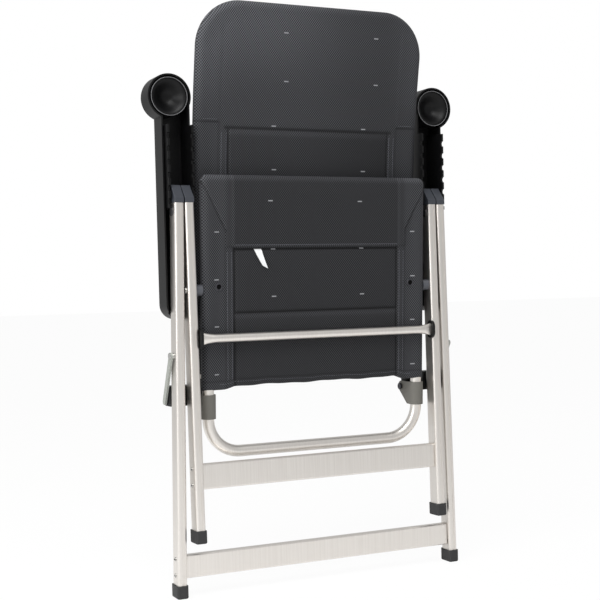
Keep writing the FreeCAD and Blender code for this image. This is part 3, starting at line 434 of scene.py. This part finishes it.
def sling(name, shape, place, across_count, along_count):
    """Front and rear skins over one grid, closed along the rim, as one padded cover."""
    across, along = sling_grid(shape, across_count, along_count)
    front = -skin(across, along, shape, "front")
    rear = skin(across, along, shape, "rear")
    points = np.concatenate([place(across, out, along).reshape(-1, 3) for out in (front, rear)])
    rows, columns = across.shape
    faces = np.concatenate([grid_faces(rows, columns), grid_faces(rows, columns, rows * columns, True)])
    piece = new_mesh(name, points, faces)
    weave = shape["weave"](across, along)
    painted_shading = np.clip(shape["painted_shading"](across, along), -1.0, 1.0)
    across_map, along_map, weave_map = (np.concatenate([values, values]) for values in (across, along, weave))
    # only the front carries the painted shade and highlights
    give_map(piece, across_map, along_map, weave_map, np.concatenate([painted_shading, 0 * painted_shading]))
    close_doubles(piece)
    smooth(piece)
    return piece


# ---- seat ---------------------------------------------------------------------------------

def pocket_edge(side):
    """How far along the seat the corner pocket's slanted edge lies, a straight line in side."""
    return FLAP_LOW + (side - BAND_OUTER) * (FLAP_HIGH - FLAP_LOW) / (FLAP_OUTER - BAND_OUTER)


def seat_flap(across, along):
    """1 on the corner pocket that is pulled over the front tube, 0 below its slanted edge."""
    side = np.abs(across)
    edge = np.where(side < BAND_OUTER, SEAT_SEAM, pocket_edge(side))
    return ease(along - edge, -0.0006, 0.0008)


def seat_front(across, along):
    """Underside: open mesh beside a sewn band, a padded middle quilted by two seams, and the
    pocket's step. The sum of bells at the seams and of rounded lifts between them."""
    side = np.abs(across)
    below = 1 - ease(along, SEAT_SEAM - 0.001, SEAT_SEAM + 0.001)
    height = 0.0088 + 0.0005 * ripple(across, along, 0.035, 1.3)
    band = ease(side, BAND_INNER - 0.0008, BAND_INNER) * (1 - ease(side, BAND_OUTER - 0.0008, BAND_OUTER))
    height = height + 0.0009 * band * below
    height = height - 0.0024 * ridge(side, BAND_INNER - 0.0025, 0.0022) * below
    centre = 1 - ease(side, BAND_INNER - 0.007, BAND_INNER - 0.001)
    sag = np.sqrt(np.clip(1 - (side / BAND_INNER) ** 4, 0.0, None))
    main = pillow(along, SEAT_CHANNEL, SEAT_SEAM - 0.004, 0.28)
    lower = pillow(along, SEAT_BOTTOM - 0.06, SEAT_CHANNEL, 0.22)
    height = height + (0.0042 * main + 0.0046 * lower) * centre * sag
    height = height - 0.0016 * ridge(along, SEAT_CHANNEL + 0.001, 0.0022) * centre
    height = height - 0.0022 * ridge(along, SEAT_SEAM - 0.0045, 0.0014) * centre
    height = height + 0.0011 * ridge(along, SEAT_SEAM + 0.0005, 0.0024) * centre
    height = height + 0.0030 * seat_flap(across, along)
    puff = pillow(along, SEAT_SEAM, SEAT_TOP + 0.03, 0.6) * np.clip(1 - (side / 0.21) ** 2, 0.0, 1.0)
    height = height + 0.0022 * puff * (1 - below)
    hem = 1 - ease(along, SEAT_HEM_ROW + 0.004, SEAT_HEM_ROW + 0.006)
    return height + 0.0011 * hem - 0.0009 * ridge(along, SEAT_HEM_ROW + 0.006, 0.0012)


def seat_rear(across, along):
    """Sitting side: three soft quilted sections between padded side borders."""
    side = np.abs(across)
    centre = 1 - ease(side, BAND_INNER - 0.006, BAND_INNER + 0.002)
    seams = (SEAT_BOTTOM - 0.02, SEAT_CHANNEL, SEAT_SEAM, SEAT_TOP + 0.01)
    sections = sum(pillow(along, low, high, 0.4) for low, high in zip(seams[:-1], seams[1:]))
    height = 0.0092 + 0.0004 * ripple(across, along, 0.04, 2.1)
    return height + 0.0052 * sections * centre * np.sqrt(np.clip(1 - (side / BAND_INNER) ** 4, 0.0, None))


def seat_weave(across, along):
    """Openness of the mesh: fully open beside the band, closer on the padded middle."""
    side = np.abs(across)
    middle = 1 - ease(side, BAND_INNER - 0.004, BAND_INNER)
    return np.clip(0.95 - 0.45 * middle - 0.30 * ridge(side, 0.183, 0.007), 0.0, 1.0)


def deepest(lines, across, along):
    """The largest of several bells at each place of the grid."""
    return np.maximum.reduce([np.broadcast_to(line, np.broadcast(across, along).shape) for line in lines])


def seat_painted_shading(across, along):
    """Painted shade and light on the underside: the largest of the bells along each seam, where
    shade is painted, less the bells over the taut edges and rounded lips, where highlights are painted."""
    side = np.abs(across)
    below = 1 - ease(along, SEAT_SEAM - 0.002, SEAT_SEAM)
    centre = 1 - ease(side, BAND_INNER - 0.003, BAND_INNER)
    slant = pocket_edge(side)
    # painted shade along the seams, the band's groove, the pocket's edge and the hem row
    lines = [ridge(side, BAND_INNER - 0.0025, 0.0020) * below * 0.9,
             ridge(along, SEAT_CHANNEL + 0.001, 0.0022) * centre,
             ridge(along, SEAT_SEAM - 0.0045, 0.0020) * centre,
             ridge(side, BAND_OUTER + 0.001, 0.0010) * (1 - ease(along, FLAP_LOW - 0.002, FLAP_LOW)) * 0.7,
             ridge(along - slant, -0.0026, 0.0026) * ease(side, BAND_OUTER - 0.001, BAND_OUTER),
             ridge(along, SEAT_HEM_ROW + 0.006, 0.0012) * 0.7]
    # painted highlights on the lit rail above the seam, the lip below the channel, the top edge, the band and
    # the pocket's slanted edge
    painted_highlight = 0.9 * ridge(along, SEAT_SEAM + 0.0010, 0.0022) * centre \
        + 0.5 * ridge(along, SEAT_CHANNEL - 0.006, 0.0045) * centre \
        + 0.7 * ridge(along, SEAT_TOP - 0.003, 0.006) \
        + 0.25 * ridge(side, (BAND_INNER + BAND_OUTER) / 2, 0.006) * below \
        + 0.5 * ridge(along - slant, 0.0022, 0.0022) * ease(side, BAND_OUTER - 0.001, BAND_OUTER)
    return deepest(lines, across, along) - painted_highlight


SEAT_SHAPE = {"bottom": SEAT_BOTTOM, "top": SEAT_TOP, "corner": SEAT_CORNER,
              "front": seat_front, "rear": seat_rear, "weave": seat_weave, "painted_shading": seat_painted_shading}


# ---- backrest -------------------------------------------------------------------------------

def back_front(across, along):
    """Leaning side: a smooth head section above the seam, a padded middle below it between two
    sewn bands, and mesh sleeves that end a little above the seam."""
    side = np.abs(across)
    head = ease(along, BACK_SEAM - 0.0008, BACK_SEAM + 0.0008)
    wide = ease(along, BACK_SLEEVE_END - 0.0008, BACK_SLEEVE_END + 0.0008)
    centre = 1 - ease(side, BAND_INNER - 0.010, BAND_INNER - 0.006)
    outer = ease(side, BAND_OUTER - 0.002, BAND_OUTER)
    height = 0.0098 + 0.0005 * ripple(across, along, 0.045, 0.7)
    dome = np.clip(1 - (side / 0.225) ** 2, 0.0, 1.0)
    height = height + head * (1 - outer) * 0.0002 \
        + 0.0030 * dome * pillow(along, BACK_SEAM, BACK_TOP + 0.02, 0.5)
    padding = pillow(along, 0.20, BACK_SEAM, 0.16) * np.clip(1 - (side / BAND_INNER) ** 6, 0.0, 1.0)
    height = height + 0.0052 * padding * centre * (1 - head)
    height = height - 0.0020 * ridge(along, BACK_SEAM + 0.0012, 0.0018) * (1 - ease(side, 0.176, 0.180))
    height = height - 0.0022 * ridge(side, BAND_INNER - 0.006, 0.0018) * (1 - head)
    height = height + 0.0008 * ease(side, 0.171, 0.172) * (1 - ease(side, 0.186, 0.187)) * (1 - head)
    return height + 0.0012 * wide * outer - 0.0010 * ridge(along, BACK_SLEEVE_END - 0.0012, 0.0012) * outer


def back_rear(across, along):
    """Outer side: plain stretched mesh with a slight hollow between the tubes."""
    side = np.abs(across)
    height = 0.0080 + 0.0006 * ripple(across, along, 0.05, 1.9)
    height = height - 0.0018 * np.clip(1 - (side / 0.2) ** 2, 0.0, 1.0)
    return height + 0.0009 * ease(side, 0.186, 0.187)


def back_weave_and_shade(across, along):
    """Openness of the mesh: open on the head section and the sleeves, closer on the middle, and lower towards
    the right, where it paints shade.
    """
    side = np.abs(across)
    low = 1 - ease(along, BACK_SEAM - 0.001, BACK_SEAM + 0.001)
    middle = (1 - ease(side, 0.164, 0.168)) * low
    # painted shade: less yarn shows towards the right, darkening the cloth there
    fade = 0.22 * ease(across, -0.05, 0.16)
    return np.clip(0.95 - 0.35 * middle - fade, 0.0, 1.0)


def back_painted_shading(across, along):
    """Painted shade and light on the leaning side: the largest of the bells along each seam, where
    shade is painted, less painted highlights over the head, its sides and the top of the padded middle,
    stronger on the left."""
    side = np.abs(across)
    below = 1 - ease(along, BACK_SEAM - 0.002, BACK_SEAM)
    # painted shade along the seam, the band's groove, the sleeve's edge and the sleeve's end
    lines = [ridge(along, BACK_SEAM + 0.0012, 0.0022) * (1 - ease(side, 0.176, 0.180)),
             ridge(side, BAND_INNER - 0.006, 0.0022) * below,
             ridge(side, 0.1885, 0.0012) * (1 - ease(along, BACK_SLEEVE_END - 0.002, BACK_SLEEVE_END)) * 0.8,
             ridge(along, BACK_SLEEVE_END - 0.0012, 0.0014) * ease(side, BAND_OUTER - 0.002, BAND_OUTER)]
    # painted highlights on the top of the padded middle, on the head, stronger on the left where the light
    # falls, and on the head's sides
    painted_highlight = 0.5 * ridge(along, BACK_SEAM - 0.007, 0.005) * (1 - ease(side, 0.166, 0.172)) \
        + 0.95 * ease(along, 0.55, 0.72) * (1 - 0.7 * ease(across, -0.14, 0.10)) \
        + 0.45 * ease(side, 0.15, 0.23) * ease(along, BACK_SLEEVE_END, 0.60)
    return deepest(lines, across, along) - painted_highlight


BACK_SHAPE = {"bottom": BACK_BOTTOM, "top": BACK_TOP, "corner": BACK_CORNER,
              "front": back_front, "rear": back_rear, "weave": back_weave_and_shade, "painted_shading": back_painted_shading}


# ---- small pieces laid on the cloth -----------------------------------------------------------

def tiles(name, places, shape, place, size, lift):
    """Flat bars laid on a sling's front: for each centre and heading, the eight corners of a
    bar of the given length, width and thickness, each set on the cloth's own height."""
    centres = np.array([spot[:2] for spot in places])
    heading = np.array([spot[2] if len(spot) > 2 else 0.0 for spot in places])
    length, width, thick = size
    corner = np.array([(a, b) for a, b in ((-1, -1), (1, -1), (1, 1), (-1, 1))]) / 2 * (length, width)
    cos, sin = np.cos(heading)[:, None], np.sin(heading)[:, None]
    across = centres[:, :1] + corner[None, :, 0] * cos - corner[None, :, 1] * sin
    along = centres[:, 1:] + corner[None, :, 0] * sin + corner[None, :, 1] * cos
    base = skin(across, along, shape, "front")
    low = place(across, -(base + lift - thick), along)
    high = place(across, -(base + lift), along)
    points = np.concatenate([low, high], axis=1)
    box = np.array([(0, 3, 2, 1), (4, 5, 6, 7), (0, 1, 5, 4), (1, 2, 6, 5), (2, 3, 7, 6), (3, 0, 4, 7)])
    faces = (box[None] + 8 * np.arange(len(places))[:, None, None]).reshape(-1, 4)
    piece = new_mesh(name, points, faces[:, ::-1])
    close_doubles(piece, 1e-7)
    return piece


def stitch_row(start, end, pitch=0.0042):
    """Centres and heading of stitches along a straight seam."""
    start, end = np.array(start), np.array(end)
    span = end - start
    count = max(2, int(np.hypot(*span) / pitch))
    share = (np.arange(count) + 0.5) / count
    heading = math.atan2(span[1], span[0])
    return [(start[0] + span[0] * part, start[1] + span[1] * part, heading) for part in share]


def both_sides(rows):
    """The same rows on either side of the middle plane."""
    return rows + [(-x, s, math.pi - turn) for x, s, turn in rows]


def finish_piece(piece, body, finish, replaced=()):
    """Give a piece its finish, the body it rides on and the nodes it stands for."""
    wear(piece, FINISHES[finish])
    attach(piece, body)
    if replaced:
        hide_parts(*replaced)
    return piece


def disc(name, centre, radius, thickness, axis):
    """A short closed cylinder: two rings of points, flat at both ends."""
    turns = np.linspace(0, 2 * math.pi, DISC_STEPS, endpoint=False)
    level = np.repeat([0.0, thickness], DISC_STEPS)
    first, second = (np.tile(values * radius, 2) for values in (np.cos(turns), np.sin(turns)))
    offsets = {"x": (level, first, second), "y": (first, -level, second)}[axis]
    points = np.array(centre) + np.stack(offsets, axis=1)
    number = np.arange(DISC_STEPS)
    after = np.roll(number, -1)
    wall = np.stack([number, after, after + DISC_STEPS, number + DISC_STEPS], axis=1)
    piece = new_mesh(name, points, [number[::-1].tolist(), (number + DISC_STEPS).tolist()] + wall.tolist())
    close_doubles(piece, 1e-7)
    return piece


# ---- settings -----------------------------------------------------------------------------------

class ChairFinishes(bpy.types.PropertyGroup):
    aluminium: bpy.props.StringProperty(name="Aluminium", description="Lightest tone of the tubes",
                                        default="#EAE6E1")
    yarn: bpy.props.StringProperty(name="Yarn", description="Lighter tone of the cloth", default="#4F5054")
    ground: bpy.props.StringProperty(name="Ground", description="Darker tone of the cloth", default="#0B0B0C")


class ChairStage(bpy.types.PropertyGroup):
    key_power: bpy.props.FloatProperty(name="Key light", description="Power of the overhead softbox",
                                       default=44.0, min=0.0, unit="POWER")
    world: bpy.props.FloatProperty(name="Surround", description="Brightness of the white surround",
                                   default=0.60, min=0.0)


# ---- operators -------------------------------------------------------------------------------------

class CHAIR_OT_finishes(bpy.types.Operator):
    """Give every hard piece of the chair its finish"""
    bl_idname = "chair.finishes"
    bl_label = "Finishes"

    def execute(self, context):
        FINISHES.update(make_finishes(context.scene.chair_finishes))
        for finish, names in NODE_FINISHES.items():
            for name in names:
                wear(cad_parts[name], FINISHES[finish])
        return {"FINISHED"}


class CHAIR_OT_seat_cover(bpy.types.Operator):
    """Make the seat's padded cover, sewn round its tube"""
    bl_idname = "chair.seat_cover"
    bl_label = "Seat cover"

    def execute(self, context):
        piece = sling("seat_cover", SEAT_SHAPE, on_seat_cloth, 210, 190)
        finish_piece(piece, "seat", "cloth", ["seat_sling"])
        return {"FINISHED"}


class CHAIR_OT_back_cover(bpy.types.Operator):
    """Make the backrest's padded cover, sewn round its tube"""
    bl_idname = "chair.back_cover"
    bl_label = "Backrest cover"

    def execute(self, context):
        piece = sling("back_cover", BACK_SHAPE, on_back, 170, 250)
        finish_piece(piece, "backrest", "cloth", ["back_sling"])
        return {"FINISHED"}


class CHAIR_OT_stitching(bpy.types.Operator):
    """Sew the rows of stitches along the seams and the hem"""
    bl_idname = "chair.stitching"
    bl_label = "Stitching"

    def execute(self, context):
        seat_rows = stitch_row((-0.205, SEAT_HEM_ROW), (0.205, SEAT_HEM_ROW), 0.005)
        seat_rows += both_sides(stitch_row((0.1785, -0.17), (0.1785, 0.07)))
        seat_rows += both_sides(stitch_row((0.1875, -0.17), (0.1875, 0.07)))
        seat_rows += stitch_row((-0.172, SEAT_SEAM + 0.0035), (0.172, SEAT_SEAM + 0.0035))
        piece = tiles("seat_stitches", seat_rows, SEAT_SHAPE, on_seat_cloth, STITCH, STITCH_LIFT)
        finish_piece(piece, "seat", "thread")
        back_rows = both_sides(stitch_row((0.1735, 0.06), (0.1735, 0.50)))
        back_rows += both_sides(stitch_row((0.1835, 0.06), (0.1835, 0.50)))
        sleeve_row = BACK_SLEEVE_END + 0.003
        back_rows += both_sides(stitch_row((0.192, sleeve_row), (0.222, sleeve_row)))
        piece = tiles("back_stitches", back_rows, BACK_SHAPE, on_back, STITCH, STITCH_LIFT)
        finish_piece(piece, "backrest", "thread")
        return {"FINISHED"}


class CHAIR_OT_marks(bpy.types.Operator):
    """Weave the small pale dashes into both slings"""
    bl_idname = "chair.marks"
    bl_label = "Woven dashes"

    def execute(self, context):
        seat = [(-0.101, 0.165), (0.088, 0.165), (-0.208, 0.107), (0.208, 0.107), (-0.094, 0.075),
                (0.094, 0.075), (-0.209, 0.019), (0.209, 0.019), (-0.094, -0.014), (0.094, -0.014),
                (-0.209, -0.068), (0.209, -0.068), (-0.210, -0.157), (0.210, -0.157)]
        piece = tiles("seat_marks", seat, SEAT_SHAPE, on_seat_cloth, DASH, DASH_LIFT)
        finish_piece(piece, "seat", "marks")
        back = [(-0.061, 0.688), (0.131, 0.689), (-0.056, 0.599), (0.137, 0.601), (-0.077, 0.5145),
                (0.115, 0.5145), (-0.077, 0.432), (0.115, 0.432)]
        piece = tiles("back_marks", back, BACK_SHAPE, on_back, DASH, DASH_LIFT)
        finish_piece(piece, "backrest", "marks")
        return {"FINISHED"}


class CHAIR_OT_care_tag(bpy.types.Operator):
    """Hang the blank white care tag from the seat's upper seam"""
    bl_idname = "chair.care_tag"
    bl_label = "Care tag"

    def execute(self, context):
        # a ribbon: its middle line swings sideways as a power of the drop and lifts off as a sine
        drop, wide = np.meshgrid(np.linspace(0, 1, 25), np.linspace(-1, 1, 9), indexing="ij")
        across = TAG_X + TAG_SWING * drop ** 1.5 + wide * TAG_HALF_WIDTH * (1 - 0.35 * drop)
        along = SEAT_SEAM - 0.004 - TAG_DROP * drop - 0.0028 * wide * drop
        out = skin(across, along, SEAT_SHAPE, "front") + 0.0010 + 0.0035 * np.sin(math.pi * drop * 0.8) \
            + 0.0012 * wide * drop
        front = on_seat(across, -(out + 0.0004), along)
        rear = on_seat(across, -out, along)
        points = np.concatenate([front.reshape(-1, 3), rear.reshape(-1, 3)])
        rows, columns = across.shape
        faces = np.concatenate([grid_faces(rows, columns), grid_faces(rows, columns, rows * columns, True)])
        rim = np.concatenate([np.arange(columns), np.arange(1, rows) * columns + columns - 1,
                              (rows - 1) * columns + np.arange(columns - 1)[::-1],
                              np.arange(1, rows - 1)[::-1] * columns])
        after = np.roll(rim, -1)
        wall = np.stack([rim, after, after + rows * columns, rim + rows * columns], axis=1)
        piece = new_mesh("care_tag", points, np.concatenate([faces, wall]))
        close_doubles(piece, 1e-7)
        finish_piece(piece, "seat", "ribbon", ["seat_care_tag"])
        return {"FINISHED"}


class CHAIR_OT_fittings(bpy.types.Operator):
    """Add painted shade in the eyelet holes and screw recesses, and the dished ends of the armrests"""
    bl_idname = "chair.fittings"
    bl_label = "Fittings"

    def execute(self, context):
        self.eyelets_and_dishes()
        self.recesses()
        return {"FINISHED"}

    def eyelets_and_dishes(self):
        """A rolled ring at each eyelet with a near-black disc in its hole as painted shade, and a dish in
        each armrest's disc.
        """
        rings = []
        for side, sign in (("left", -1), ("right", 1)):
            rings.append(self.eyelet(sign * EYELET_X))
            spot = on_seat(np.array(sign * EYELET_X), np.array(EYELET_OUT), np.array(EYELET_RISE))
            # painted shade: a thin near-black disc in the eyelet's hole
            hollow = disc("eyelet_hole_shade_" + side, spot, EYELET_HOLLOW, 0.0004, "y")
            finish_piece(hollow, "seat", "dark")
            self.bowl(side, sign)
        points = np.concatenate([ring[0] for ring in rings])
        faces = np.concatenate([rings[0][1], rings[1][1] + len(rings[0][0])])
        piece = new_mesh("eyelet_rings", points, faces)
        smooth(piece)
        finish_piece(piece, "seat", "shafts", ["seat_eyelets"])

    def recesses(self):
        """A near-black disc on the head of each bar screw, two to a side on each bar, as painted shade in its
        drive recess.
        """
        for node, body in (("rear_bar_screws", "rear_legs"), ("front_bar_screws", "front_legs")):
            low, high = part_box(node)
            middle = (high.y + low.y) / 2
            for step, level in enumerate((low.z + SCREW_INSET, high.z - SCREW_INSET)):
                for side, sign in (("left", -1), ("right", 1)):
                    start = high.x if sign > 0 else -high.x - RECESS_LIFT
                    recess = disc("%s_recess_%s_%d" % (node, side, step), (start, middle, level),
                                  RECESS_RADIUS, RECESS_LIFT, "x")
                    finish_piece(recess, body, "dark")

    def eyelet(self, across):
        """A rolled ring in the seat's plane."""
        rings, faces = self.torus(EYELET_REACH, EYELET_SECTION)
        return on_seat(across + rings[:, 0], EYELET_OUT + 0.8 * rings[:, 1], EYELET_RISE + rings[:, 2]), faces

    def torus(self, reach, section):
        """A circle of section radius swept round a larger circle in the XZ plane."""
        long_way, short_way = (np.linspace(0, 2 * math.pi, steps, endpoint=False) for steps in TORUS_STEPS)
        turn, roll = np.meshgrid(long_way, short_way, indexing="ij")
        out = reach + section * np.cos(roll)
        grid = np.stack([out * np.cos(turn), section * np.sin(roll), out * np.sin(turn)], axis=-1)
        points = grid.reshape(-1, 3)
        number = np.arange(TORUS_STEPS[0] * TORUS_STEPS[1]).reshape(TORUS_STEPS)
        after, over = np.roll(number, -1, axis=0), np.roll(number, -1, axis=1)
        both = np.roll(after, -1, axis=1)
        faces = np.stack([number, over, both, after], axis=-1).reshape(-1, 4)
        return points, faces

    def bowl(self, side, sign):
        """A dish turned about the disc's axis: its depth is a half cosine of the radius, bent by a power."""
        turn, share = np.meshgrid(np.linspace(0, 2 * math.pi, 65), np.linspace(0, 1, 24), indexing="ij")
        radius = DISH_RADIUS * share
        depth = DISH_DEPTH * (0.5 + 0.5 * np.cos(math.pi * share ** 1.3))
        centre = (sign * DISH_X, DISH_BACK, DISH_Z)
        points = np.stack([centre[0] + radius * np.cos(turn), centre[1] + depth,
                           centre[2] + radius * np.sin(turn)], axis=-1)
        rear = points + np.array([0.0, DISH_THICK, 0.0])
        rows, columns = turn.shape
        faces = np.concatenate([grid_faces(rows, columns, flip=True),
                                grid_faces(rows, columns, rows * columns)])
        rim = np.arange(rows) * columns + columns - 1
        wall = np.stack([rim[:-1], rim[1:], rim[1:] + rows * columns, rim[:-1] + rows * columns], axis=1)
        piece = new_mesh("armrest_dish_" + side, np.concatenate([points.reshape(-1, 3), rear.reshape(-1, 3)]),
                         np.concatenate([faces, wall]))
        close_doubles(piece, 1e-7)
        smooth(piece)
        finish_piece(piece, "armrest_" + side, "armrests")
        # the lip ring wears the lighter grey nylon as a painted highlight
        rings, faces = self.torus(LIP_REACH, LIP_SECTION)
        edge = new_mesh("armrest_dish_edge_" + side, rings + (centre[0], LIP_FRONT, centre[2]), faces)
        smooth(edge)
        finish_piece(edge, "armrest_" + side, "edges")


class CHAIR_OT_stage(bpy.types.Operator):
    """Lay the floor and set the lights and the camera"""
    bl_idname = "chair.stage"
    bl_label = "Stage"

    def execute(self, context):
        settings = context.scene.chair_stage
        bpy.ops.mesh.primitive_plane_add(size=FLOOR_SIZE, location=(0, 0, 0))
        floor = context.active_object
        floor.name = "floor"
        wear(floor, self.paper())
        context.scene.world = self.surround(settings.world)
        self.softbox("overhead", (-0.9, -1.2, 2.7), (0.0, 0.0, 0.8), 1.6, settings.key_power)
        self.softbox("left", (-2.6, -0.9, 1.3), (0.0, 0.0, 0.7), 1.4, settings.key_power * 0.6)
        data = bpy.data.cameras.new("camera")
        data.lens, data.sensor_width, data.shift_y = CAMERA_LENS, CAMERA_FILM, CAMERA_SHIFT
        data.clip_end = CAMERA_REACH
        camera = bpy.data.objects.new("camera", data)
        context.scene.collection.objects.link(camera)
        camera.matrix_world = self.aim()
        context.scene.camera = camera
        context.scene.view_settings.view_transform = "Standard"
        return {"FINISHED"}

    def paper(self):
        """White paper that is lit to full white where the camera sees it, with a trace of shade."""
        material, tree, shader = new_material("white_paper")
        shader.inputs["Base Color"].default_value = linear("#FFFFFF")
        shader.inputs["Roughness"].default_value = 0.9
        glow = add(tree, "ShaderNodeEmission", {"Strength": 1.0})
        ray = add(tree, "ShaderNodeLightPath")
        share = add(tree, "ShaderNodeMath", {1: 0.93}, {0: ray.outputs["Is Camera Ray"]},
                    operation="MULTIPLY")
        both = add(tree, "ShaderNodeMixShader", sources={0: share.outputs[0], 1: shader.outputs[0],
                                                         2: glow.outputs[0]})
        output = next(node for node in tree.nodes if node.type == "OUTPUT_MATERIAL")
        tree.links.new(both.outputs[0], output.inputs["Surface"])
        return material

    def surround(self, strength):
        """A white surround, brighter behind the chair than in the light it gives."""
        world = bpy.data.worlds.new("white_surround")
        world.use_nodes = True
        tree = world.node_tree
        background = tree.nodes["Background"]
        background.inputs["Color"].default_value = (1.0, 1.0, 1.0, 1.0)
        ray = add(tree, "ShaderNodeLightPath")
        level = add(tree, "ShaderNodeMapRange", {"To Min": strength, "To Max": 1.0},
                    {"Value": ray.outputs["Is Camera Ray"]})
        tree.links.new(level.outputs[0], background.inputs["Strength"])
        return world

    def softbox(self, name, place, target, size, power):
        """A round light of the given size that faces a target, its up kept level."""
        data = bpy.data.lights.new(name, "AREA")
        data.shape, data.size, data.energy = "DISK", size, power
        lamp = bpy.data.objects.new(name, data)
        bpy.context.scene.collection.objects.link(lamp)
        away = np.array(place) - np.array(target)
        away = away / np.linalg.norm(away)
        across = np.cross((0, 0, 1), away)
        across = across / np.linalg.norm(across)
        up = np.cross(away, across)
        lamp.matrix_world = Matrix([(across[k], up[k], away[k], place[k]) for k in range(3)] + [(0, 0, 0, 1)])

    def aim(self):
        """Camera matrix from its turn about Z, its tilt and its roll."""
        yaw, pitch, roll = (math.radians(value) for value in CAMERA_TURNS)
        ahead = np.array([-math.sin(yaw) * math.cos(pitch), math.cos(yaw) * math.cos(pitch), math.sin(pitch)])
        right = np.array([math.cos(yaw), math.sin(yaw), 0.0])
        up = np.cross(right, ahead)
        right, up = (right * math.cos(roll) + up * math.sin(roll),
                     up * math.cos(roll) - right * math.sin(roll))
        return Matrix([(right[k], up[k], -ahead[k], CAMERA_PLACE[k]) for k in range(3)] + [(0, 0, 0, 1)])


OPERATORS = (CHAIR_OT_finishes, CHAIR_OT_seat_cover, CHAIR_OT_back_cover, CHAIR_OT_stitching, CHAIR_OT_marks,
             CHAIR_OT_care_tag, CHAIR_OT_fittings, CHAIR_OT_stage)


class CHAIR_PT_panel(bpy.types.Panel):
    """The chair's pieces and settings"""
    bl_label = "Camp chair"
    bl_idname = "CHAIR_PT_panel"
    bl_space_type = "VIEW_3D"
    bl_region_type = "UI"
    bl_category = "Camp Chair"

    def draw(self, context):
        for settings in (context.scene.chair_finishes, context.scene.chair_stage):
            for name in settings.__annotations__:
                self.layout.prop(settings, name)
        for operator in OPERATORS:
            self.layout.operator(operator.bl_idname)


CLASSES = (ChairFinishes, ChairStage) + OPERATORS + (CHAIR_PT_panel,)


def register():
    for item in CLASSES:
        bpy.utils.register_class(item)
    bpy.types.Scene.chair_finishes = bpy.props.PointerProperty(type=ChairFinishes)
    bpy.types.Scene.chair_stage = bpy.props.PointerProperty(type=ChairStage)


def unregister():
    del bpy.types.Scene.chair_stage
    del bpy.types.Scene.chair_finishes
    for item in reversed(CLASSES):
        bpy.utils.unregister_class(item)


def main():
    register()
    bpy.ops.chair.finishes()
    bpy.ops.chair.seat_cover()
    bpy.ops.chair.back_cover()
    bpy.ops.chair.stitching()
    bpy.ops.chair.marks()
    bpy.ops.chair.care_tag()
    bpy.ops.chair.fittings()
    bpy.ops.chair.stage()
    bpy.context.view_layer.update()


if __name__ == "__main__":
    main()
